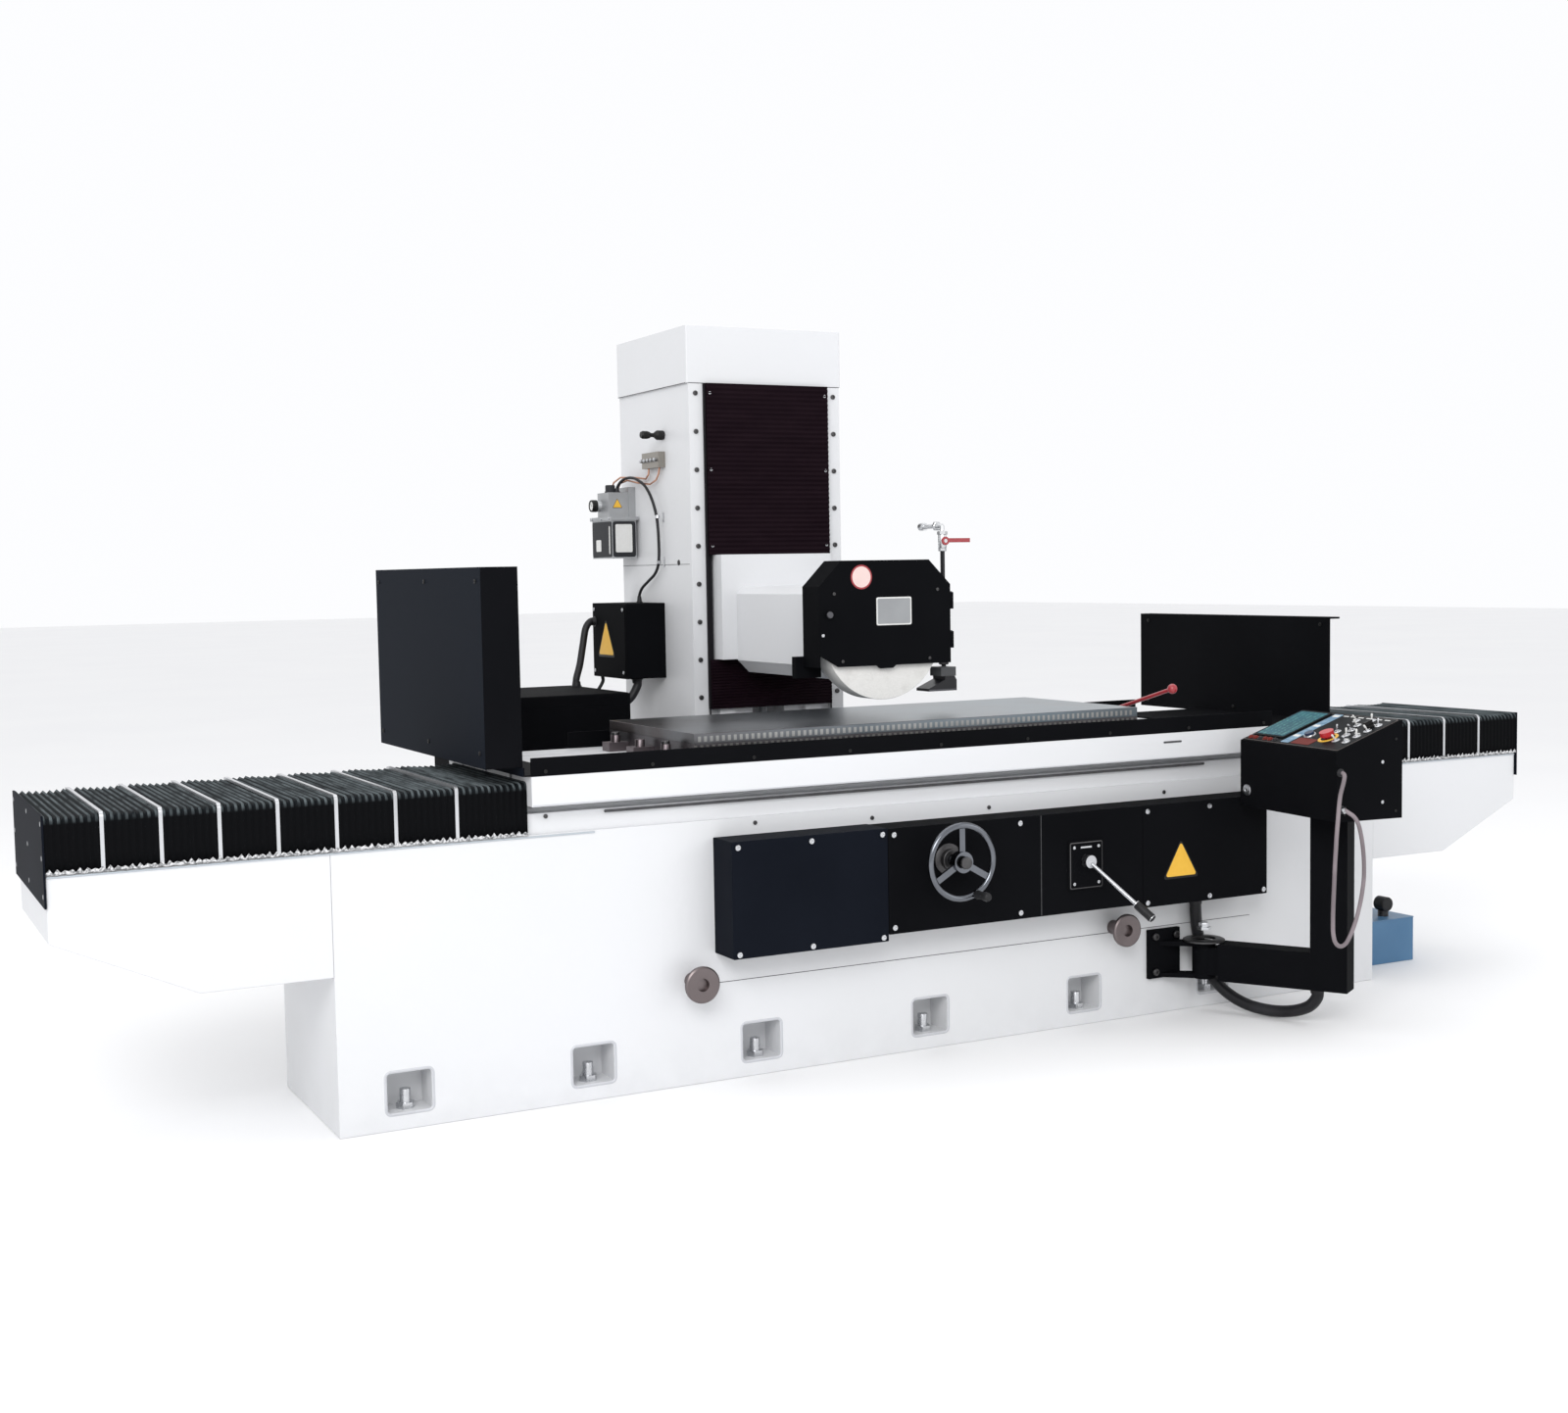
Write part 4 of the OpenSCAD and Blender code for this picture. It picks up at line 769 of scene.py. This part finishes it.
warning_plate("junction_warning", (-424, 1058, 1172), (0, -1, 0), up, 146, "column_body")
warning_plate("pump_warning", (-344, 1126, 1634), front, up, 36, "column_body", 0.6)
warning_plate("electrical_warning", (830, -431, 496), front, up, 134, "base")
slab("junction_lid", rounded(282, 238, 8), (-422, 1036, 1167), (0, -1, 0), up, 2.0, black, 0.8, "column_body")
for k, (y, z) in enumerate(((910, 1062), (1162, 1062), (910, 1272), (1162, 1272))):
    screw(f"junction_screw_{k}", (-424, y, z), (-1, 0, 0), 6, "column_body", bright, 3)
clip_profile = [(5.2, -5), (8, -5), (8, 5), (5.2, 5), (5.2, -5)]
for k, (place, along) in enumerate((((-297.4, 893.5, 1580), (-0.05, -0.1, -1)),
                                    ((-296, 894, 1430), (0, 0.2, -1)))):
    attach(turned(f"cable_clip_{k}", clip_profile, place, along, bright, 24), "column_body")
    slab(f"cable_clip_foot_{k}", rounded(10, 34, 3), (-279.5, place[1] - 8, place[2]), (0, 1, 0), up, -1.5,
         bright, 0.3, "column_body")

# ---- Wheelhead ----
# The wheelhead casting carries the spindle in a round-cornered housing. The wheel guard is welded plate,
# with a hinged door on its front, plates for the wheel data and a lifting lug.
hinge_steel = metal("hinge_steel", (0.12, 0.12, 0.13), 0.4, slot="dark_steel")
for k, (z0, z1) in enumerate(((1152, 1202), (1270, 1320))):
    knuckle = [(0, z0), (9, z0), (9.6, z0 + 1), (9.6, z1 - 1), (9, z1), (4, z1 + 3), (0, z1 + 3)]
    pin = turned(f"door_hinge_pin_{k}", [(r * 0.55, h) for r, h in knuckle], (234, -86, 0), (0, 0, 1),
                 hinge_steel)
    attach(pin, "head_body")
plate_grey = metal("data_plate_grey", (0.36, 0.37, 0.38), 0.38, (0.05, 1, 1), 200, slot="grey_paint")
slab("wheel_data_plate", rounded(121, 83, 5), (27.5, -94, 1268.5), front, up, 0.8, label_white, 0.2,
     "door_body")
slab("wheel_data_face", rounded(113, 75, 4), (27.5, -94.8, 1268.5), front, up, 0.4, plate_grey, 0.1,
     "door_body")
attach(turned("door_disc_rim", [(0, 0.5), (36, 0.5), (36, 0), (0, 0)], (-83, -94, 1371), (0, -1, 0),
               lever_red, 48), "door_body")
disc_pink = Finish("disc_pale", Roughness=0.5)
pale = disc_pink.noise(40, 2)
disc_pink = disc_pink.set(disc_pink.mix(pale, (0.66, 0.50, 0.47), (0.72, 0.56, 0.53)))
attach(turned("door_disc_face", [(0, 0.9), (31, 0.9), (31, 0.5), (0, 0.5)], (-83, -94, 1371), (0, -1, 0),
               disc_pink, 48), "door_body")
for k, (x, z) in enumerate(((-176, 1323), (-215, 1202), (-150, 1124), (150, 1124), (180, 1330))):
    screw(f"door_screw_{k}", (x, -94, z), (0, -1, 0), 5, "door_body", dark_steel if k != 1 else bright, 3)
door_grip = [(0, 14), (9, 14), (10.5, 12), (10.5, 9), (6, 6), (6, 0), (0, 0)]
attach(turned("door_latch_knob", door_grip, (-196, -94, 1262), (0, -1, 0), hinge_steel, 28), "door_body")

# ---- Coolant supply ----
# A stainless pipe comes down from an elbow through a quarter-turn valve with a red lever to a flared black
# nozzle beside the wheel. The unions are hexagons with chamfered corners.
pipe_steel = metal("pipe_steel", (0.58, 0.59, 0.60), 0.24)
pipe_paint = Finish("pipe_and_nozzle", Specular_IOR_Level=0.35)
bare_end = pipe_paint.z > 1.452
pipe_wear = pipe_paint.noise(30, 3)
in_block = (pipe_paint.z > 1.0652) * (pipe_paint.z < 1.0935)
tone = pipe_paint.mix(in_block, (0.010, 0.010, 0.012), (0.055, 0.057, 0.060))
tone = pipe_paint.mix(bare_end, tone, (0.60, 0.61, 0.62))
dress("coolant_pipe", pipe_paint.set(tone, 0.24 + pipe_wear * 0.2, metallic=bare_end), 1)
dress("valve_handle", lever_red, 1)


def union(name, centre, axis, across, length, finish, body):
    """A hexagon union nut: six flats with both ends chamfered."""
    flat = across / 2 / math.cos(math.pi / 6)
    shape = [(0, length / 2), (across / 2 - 1, length / 2), (flat, length / 2 - 2), (flat, 2 - length / 2),
             (across / 2 - 1, -length / 2), (0, -length / 2)]
    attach(turned(name, shape, centre, axis, finish, 6), body)


for k, z in enumerate((1450, 1500)):
    union(f"valve_union_{k}", (252, -12, z), (0, 0, 1), 28 if k else 22, 12, pipe_steel, "head_body")
union("elbow_union", (252, 20, 1522), (0, 1, 0), 26, 12, pipe_steel, "head_body")
for k, z in enumerate((1102, 1128)):
    union(f"nozzle_union_{k}", (252, -12, z), (0, 0, 1), 26, 10, dark_steel, "head_body")
hose_line = np.array([(252, -12, z) for z in np.linspace(1136, 1240, 27)]) / 1000
ring_wave = 0.0090 + 0.0012 * (np.arange(27) % 2)
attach(swept("coolant_hose", hose_line, ring_wave, sheath), "head_body")
slab("nozzle_lip", rounded(98, 5, 2), (208, -75, 1024), front, up, 1.0, hinge_steel, 0.3, "head_body")

# ---- Grinding wheel ----
# A vitrified white corundum wheel: a porous body with open grain, a dressed face and a steel flange held by
# a ring of screws.
grit = Finish("white_abrasive", Specular_IOR_Level=0.2, Roughness=0.92)
grain = grit.noise(1100, 2)
dressing = grit.noise(70, 3, (0.3, 3, 0.3))
tone = grit.mix(grain.ramp(0.35, 0.65), (0.60, 0.59, 0.565), (0.82, 0.81, 0.79))
tone = grit.mix(dressing.ramp(0.55, 0.75) * 0.4, tone, (0.52, 0.51, 0.49))
dress("grinding_wheel", grit.set(tone, None, grain, 0.0004), 1.5)
dress("spindle", bright, 1)
flange = [(46, 0), (88, 0), (90, 2), (90, 6), (84, 10), (52, 12), (46, 12), (46, 0)]
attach(turned("wheel_flange", flange, (0, -76, 1205), (0, -1, 0), bright, 64), "wheel_body")
for k in range(6):
    a = math.radians(60 * k)
    screw(f"flange_screw_{k}", (70 * math.cos(a), -87, 1205 + 70 * math.sin(a)), (0, -1, 0), 5, "wheel_body",
          dark_steel, 1.6)

# ---- Operating controls ----
# A chromed handwheel with a black crank handle moves the table by hand, and a steel lever with a black grip
# throws the hydraulic drive. Both stand on turned escutcheons screwed to the control panel.
chrome = metal("chrome", (0.17, 0.18, 0.20), 0.12, wear=0.05, depth=0.00003)
dress("handwheel", chrome)
grip_black = rubber("grip_black", (0.010, 0.010, 0.011), "black_plastic")
knob = [(0, 64), (7, 64), (11, 61), (13, 54), (13, 46), (11, 30), (11.6, 16), (13, 9), (12, 4), (11.2, 3),
        (0, 3)]
knob_x, knob_z = -8 + 103 * math.cos(math.radians(-66)), 571 + 103 * math.sin(math.radians(-66))
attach(turned("handwheel_knob", knob, (knob_x, -513, knob_z), (0, -1, 0), grip_black, 32), "handwheel_body")
boss = [(0, 0), (44, 0), (44, 5), (40, 8), (30, 10), (30, 26), (28, 28), (16.5, 28), (16.5, 0)]
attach(turned("handwheel_escutcheon", boss, (-8, -431, 571), (0, -1, 0), dark_steel, 48), "base")
cap = [(0, 8), (12, 7.4), (17, 5), (18, 0), (0, 0)]
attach(turned("handwheel_hub_cap", cap, (-8, -527, 571), (0, -1, 0), dark_steel, 32), "handwheel_body")

dress("table_lever", bright)
lever_way = np.array((0.329, -0.739, -0.588))
grip = [(6.4, 188), (9, 188), (12.6, 194), (13.2, 214), (12.9, 240), (13.4, 250), (11, 257), (6, 259),
        (0, 259)]
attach(turned("lever_grip", [(0, 188)] + grip, (472, -449, 524), lever_way, grip_black, 28),
        "table_lever_body")
for k, z in enumerate((458, 566)):
    for x in (428, 516):
        screw(f"lever_plate_screw_{k}_{x}", (x, -436, z), (0, -1, 0), 5, "base", bright, 3)
frame_edge = np.stack([rounded(118, 138, 6), rounded(112, 132, 4)])
frame_y = np.broadcast_to(np.array([-436.2, -437.2])[:, None], frame_edge.shape[:2])
frame_grid = np.stack([472 + frame_edge[..., 0], frame_y, 512 + frame_edge[..., 1]], -1)
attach(surface("lever_plate_frame", frame_grid / 1000, dark_steel, along=True), "base")
slab("lever_plate_legend", rounded(40, 5, 2), (472, -436, 565), front, up, 0.4, stay_metal, 0)
slab("panel_joint", rounded(2, 296, 0.9), (314, -431, 522), front, up, 0.6, shadow_gap, 0)

# ---- Pendant ----
# The pendant is a sheet box on a hollow arm. Its sloping panel holds a display behind a bezel, a membrane
# strip, a row of lamps, switches, and legends with no words.
post_at, slope = np.array((1150.28, -736.30, 0)), math.radians(19.93)
side_u = np.array((math.cos(math.radians(6.2)), -math.sin(math.radians(6.2)), 0))
side_v = np.array((math.sin(math.radians(6.2)), math.cos(math.radians(6.2)), 0))
panel_u = side_u * math.cos(slope) + np.array((0, 0, math.sin(slope)))
panel_n = np.cross(panel_u, side_v)


def on_panel(u, v, h=0.0):
    """A place on the panel: u up from the low edge, v from the near end, h above it, in millimetres."""
    base = post_at + (u - 136) * side_u + (v - 196) * side_v
    return base + np.array((0, 0, 852 + u * math.tan(slope))) + h * panel_n


def panel_plate(name, u0, u1, v0, v1, h, thick, finish, corner=4.0):
    flat = rounded((u1 - u0) / math.cos(slope), v1 - v0, corner)
    slab(name, flat, on_panel((u0 + u1) / 2, (v0 + v1) / 2, h), panel_u, side_v, thick, finish, 0.3,
         "console_body")


panel_rim = metal("panel_rim_steel", (0.13, 0.115, 0.11), 0.4, slot="grey_paint")
membrane = texture_paint("membrane_black", (0.006, 0.007, 0.008), stipple=300, rough=0.32,
                         slot="black_plastic")
panel_plate("panel_rim", 6, 223, 6, 459, 0, 1.4, panel_rim, 7)
panel_plate("panel_face", 10, 219, 10, 455, 1.4, 0.8, membrane, 5)

screen = Finish("display_glass", Roughness=0.3, Specular_IOR_Level=0.12)
row_mark = (screen.y % 0.021) < 0.009
cell = screen.noise(150, 2, (1, 0.6, 1)).ramp(0.48, 0.56)
haze = screen.noise(11, 2).ramp(0.3, 0.7)
tone = screen.mix(haze, (0.012, 0.075, 0.105), (0.022, 0.115, 0.150))
tone = screen.mix(row_mark * cell * 0.7, tone, (0.10, 0.30, 0.26))
screen = screen.set(tone)
panel_plate("display_bezel", 34, 214, 296, 444, 2.2, 4.5, membrane, 8)
panel_plate("display_glass", 42, 206, 304, 436, 6.7, 0.8, screen, 4)
strip_blue = Finish("membrane_blue", Roughness=0.3)
wash = strip_blue.noise(60, 3).ramp(0.35, 0.7)
strip_blue = strip_blue.set(strip_blue.mix(wash, (0.085, 0.19, 0.30), (0.22, 0.36, 0.47)))
panel_plate("membrane_strip", 14, 216, 246, 284, 2.2, 0.7, strip_blue, 4)
for k, u in enumerate(np.linspace(30, 196, 8)):
    panel_plate(f"membrane_key_{k}", u, u + 13, 251, 279, 2.9, 1.0,
                label_white if k % 3 == 1 else strip_blue, 3)
lamp_dome = [(0, 7), (3.5, 6.4), (6.2, 4.5), (7, 2), (9.5, 1.6), (10, 0), (0, 0)]
lamp_rust = Finish("lamp_red_brown", "red_plastic", Roughness=0.5, Specular_IOR_Level=0.15)
lamp_shade = lamp_rust.noise(200, 2)
lamp_rust = lamp_rust.set(lamp_rust.mix(lamp_shade, (0.10, 0.010, 0.008), (0.16, 0.020, 0.012)))
for k, v in enumerate((318, 342, 366, 390, 414, 438)):
    lamp_finish = lamp_rust if k % 3 else grip_black
    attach(turned(f"lamp_{k}", lamp_dome, on_panel(21, v, 2.2), panel_n, lamp_finish, 24), "console_body")
panel_plate("start_plate", 14, 52, 150, 236, 2.2, 1.0, lamp_rust, 4)
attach(turned("stop_ring", [(22, 1.4), (30, 1.4), (31, 0), (22, 0), (22, 1.4)], on_panel(70, 130, 2.2),
               panel_n, amber, 48), "console_body")
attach(turned("start_bezel", [(15, 5), (18, 5), (19, 3.5), (19, 0), (15, 0), (15, 5)],
               on_panel(70, 215, 2.2), panel_n, bright, 36), "console_body")
switch_base = [(0, 6), (6, 6), (6.5, 3), (11, 3), (12.5, 2), (12.5, 0), (0, 0)]
bat = [(0, 19), (2.4, 18.4), (3.2, 15), (2.6, 8), (2.0, 5), (2.0, 0), (0, 0)]
switch_places = ((58, 34), (96, 34), (134, 34), (172, 34), (58, 80), (96, 80), (128, 98), (196, 92),
                 (160, 112), (110, 140), (186, 150))
for k, (u, v) in enumerate(switch_places):
    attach(turned(f"switch_base_{k}", switch_base, on_panel(u, v, 2.2), panel_n, bright, 24), "console_body")
    tip = panel_n * 0.9 + panel_u * (0.35 if k % 2 else -0.35)
    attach(turned(f"switch_bat_{k}", bat, on_panel(u, v, 7), tip, label_white if k % 3 else bright, 16),
            "console_body")
for k, (u, v) in enumerate(((209, 40), (209, 76), (209, 122), (209, 158), (209, 194), (209, 226), (176, 62),
                            (76, 57), (116, 57), (150, 57))):
    panel_plate(f"legend_{k}", u - 2.5, u + 2.5, v - 12, v + 12, 2.2, 0.4, label_white, 1.5)
stop_red = Finish("mushroom_red", Roughness=0.28, Coat_Weight=0.3)
fade = stop_red.noise(80, 2)
dress("emergency_stop", stop_red.set(stop_red.mix(fade, (0.40, 0.012, 0.018), (0.50, 0.02, 0.025))))
start_dark = Finish("start_button_blue", Roughness=0.3)
fade = start_dark.noise(90, 2)
dress("start_button", start_dark.set(start_dark.mix(fade, (0.010, 0.022, 0.055), (0.018, 0.035, 0.080))))
dress("mode_selector", socket_black, 0.8)

lock_face = [(0, 3), (4, 3), (5, 4.5), (13, 4.5), (17, 3), (18, 0), (0, 0)]
lock_at = post_at - 136 * side_u + (269 - 34) * side_v + np.array((0, 0, 700))
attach(turned("console_lock", lock_face, lock_at, -side_u, bright, 36), "console_body")
slab("console_lock_slot", rounded(3, 12, 1.4), lock_at - 3.2 * side_u, -side_v, up, 1.4, socket_black,
     0, "console_body")
for k, z in enumerate((816, 700)):
    screw(f"console_screw_{k}", post_at + 22 * side_u - 196 * side_v + np.array((0, 0, z)), -side_v, 5,
          "console_body", bright, 3)
for k, (u, z) in enumerate(((-110, 672), (70, 672), (70, 880))):
    screw(f"console_end_screw_{k}", post_at + u * side_u - 196 * side_v + np.array((0, 0, z)), -side_v, 4,
          "console_body", socket_black, 2)
cord_clip = [(6.3, -4), (9, -4), (9, 4), (6.3, 4), (6.3, -4)]
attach(turned("cord_clip", cord_clip, (1010, -931, 685), (-0.45, 0.9, -0.5), bright, 24), "console_body")
collar = [(36, 0), (62, 0), (64, 2), (64, 6), (58, 9), (36, 9), (36, 0)]
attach(turned("hinge_washer", collar, (945, -400, 229), (0, 0, 1), dark_steel, 40), "arm_body")
hinge_bolt = [(0, 22), (14, 22), (16, 19), (16, 9), (22, 8), (22, 0), (0, 0)]
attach(turned("hinge_bolt", hinge_bolt, (945, -400, 265), (0, 0, 1), bright, 6), "base")
for k, (x, z) in enumerate(((808, 135), (808, 245), (888, 245))):
    screw(f"bracket_bolt_{k}", (x, -336, z), (0, -1, 0), 11, "base", dark_steel, 7)

# ---- Hydraulic tank ----
# A blue welded steel tank stands on the floor at the right, with a folded lid. On it are a motor pump with
# cooling fins and a black filler knob.
tank_blue = Finish("tank_blue", Specular_IOR_Level=0.4)
patch = tank_blue.noise(5, 4).ramp(0.3, 0.7)
knob_high = tank_blue.z > 0.1505
tone = tank_blue.mix(patch, (0.055, 0.145, 0.265), (0.080, 0.185, 0.320))
tone = tank_blue.mix(knob_high, tone, (0.010, 0.010, 0.012))
dress("hydraulic_tank", tank_blue.set(tone, 0.42 + patch * 0.12), 2)
lid_blue = enamel("tank_lid_blue", (0.075, 0.18, 0.31), slot="blue_paint")
slab("tank_lid", rounded(326, 356, 6), (1926, 23, 150), front, (0, 1, 0), 3, lid_blue, 0.8)
dress("pump_motor", metal("motor_grey", (0.20, 0.21, 0.22), 0.45))
fin_ring = []
for z in range(168, 236, 8):
    fin_ring += [(28.5, z), (32.5, z + 0.5), (32.5, z + 3), (28.5, z + 3.5)]
fins = turned("motor_fins", [(28, 166)] + fin_ring + [(28, 238)], (1912, -70, 0), (0, 0, 1), dark_steel, 40)
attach(fins, "base")
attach(turned("motor_cowl", [(0, 262), (20, 262), (30, 256), (31, 240), (28, 240)], (1912, -70, 0),
               (0, 0, 1), grip_black, 40), "base")
knob_disc = [(0, 46), (20, 46), (25, 42), (25, 2), (21, -1), (0, -1)]
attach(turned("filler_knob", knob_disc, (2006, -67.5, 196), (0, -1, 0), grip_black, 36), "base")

# ---- Hydraulic cabinet and rear ----
# The cabinet behind the table is folded sheet, with two doors, a pull and stamped louvres. The cross base
# behind it carries the column's rails and screw, and its motor has a terminal box.
for side, x in (("left", -868), ("right", -616)):
    slab(f"cabinet_door_{side}", rounded(244, 880, 6), (x, 1212, 520), back, up, 2, black, 1, segments=2)
slab("cabinet_top", rounded(492, 504, 6), (-742, 956, 1009), front, (0, 1, 0), 0.9, black, 0.4)
slab("cabinet_front_panel", rounded(470, 900, 6), (-742, 700, 520), front, up, 1.5, black, 0.6)
louvre = np.array([(0, 0), (0, 8), (9, 2), (9, 0)])
for k, z in enumerate(range(620, 861, 30)):
    blade = np.array([(x, 1214 + d, z + h) for x in (-930, -810) for d, h in louvre]) / 1000
    sides = [(0, 1, 2, 3), (4, 5, 6, 7)] + [(j, (j + 1) % 4, (j + 1) % 4 + 4, j + 4) for j in range(4)]
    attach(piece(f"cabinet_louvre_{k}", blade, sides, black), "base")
pull_line = drawn([(-728, 1213, 560), (-728, 1234, 566), (-728, 1238, 600), (-728, 1234, 634),
                   (-728, 1213, 640)])
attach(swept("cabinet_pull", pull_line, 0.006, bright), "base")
rail_steel = metal("rail_steel", (0.36, 0.37, 0.39), 0.22, (1, 0.03, 1), 300, slot="ground_steel")
dress("cross_rails", rail_steel, 1)
for name in ("cross_screw", "lift_screw", "table_cylinder", "piston_rod", "lift_motor"):
    dress(name, rail_steel)
dress("spindle_motor", dark_steel)
slab("cross_terminal_box", rounded(70, 90, 6), (0, 1900, 691), front, (0, 1, 0), 34, black, 2)
for k, y in enumerate(range(1830, 2001, 17)):
    slab(f"cross_motor_fin_{k}", rounded(126, 122, 12), (0, y, 626), front, up, 3, black, 0.5)
slab("rear_motor_cowl", rounded(142, 138, 22), (0, 2009.4, 626), front, up, 22, grip_black, 2)
for k, (x, z) in enumerate(((-200, 1100), (200, 1100), (-200, 1900), (200, 1900))):
    screw(f"column_rear_plug_{k}", (x, 1240, z), (0, 1, 0), 14, "column_body", dark_steel, 5)
slab("column_rear_door", rounded(380, 720, 14), (0, 1240, 1500), back, up, 2.5, white, 1.2, "column_body")
for k, (x, z) in enumerate(((-170, 1160), (170, 1160), (-170, 1840), (170, 1840), (-170, 1500), (170, 1500))):
    screw(f"rear_door_screw_{k}", (x, 1242.5, z), (0, 1, 0), 7, "column_body", bright, 4)

# ---- Floor and light ----
# A plain pale studio floor that runs into an even white surround, with a large soft key from the front left,
# a weaker fill from the right and a strip from above for the metal.
floor_paint = Finish("studio_floor", Roughness=0.75, Specular_IOR_Level=0.2)
cloudy = floor_paint.noise(0.6, 2)
floor_paint = floor_paint.set(floor_paint.mix(cloudy, (0.86, 0.86, 0.87), (0.90, 0.90, 0.90)))
corners = [(-40, -40, -0.001), (40, -40, -0.001), (40, 60, -0.001), (-40, 60, -0.001)]
floor = piece("studio_floor", corners, [(0, 1, 2, 3)], floor_paint)


def softbox(name, place, aim, wide, high, watts, tint=(1, 1, 1)):
    """A rectangular area light at a place, turned to face its aim."""
    lamp = bpy.data.lights.new(name, "AREA")
    lamp.shape, lamp.size, lamp.size_y = "RECTANGLE", wide, high
    lamp.energy, lamp.color = watts, tint
    holder = bpy.data.objects.new(name, lamp)
    turn = (Vector(aim) - Vector(place)).to_track_quat("-Z", "Y")
    holder.matrix_world = Matrix.Translation(place) @ turn.to_matrix().to_4x4()
    bpy.context.scene.collection.objects.link(holder)


softbox("key", (-4.5, -6.0, 5.0), (0, 0, 0.9), 5.0, 3.5, 370)
softbox("fill", (5.5, -5.5, 3.0), (0.3, 0, 0.8), 4.0, 3.0, 45)
softbox("top", (0.0, 1.0, 5.5), (0.0, 0.3, 1.0), 6.0, 3.0, 60)
world = bpy.data.worlds.new("studio")
bpy.context.scene.world = world
world.use_nodes = True
world.node_tree.nodes["Background"].inputs["Color"].default_value = (0.98, 0.985, 1.0, 1)
world.node_tree.nodes["Background"].inputs["Strength"].default_value = 1.0
bpy.context.scene.view_settings.view_transform = "Standard"
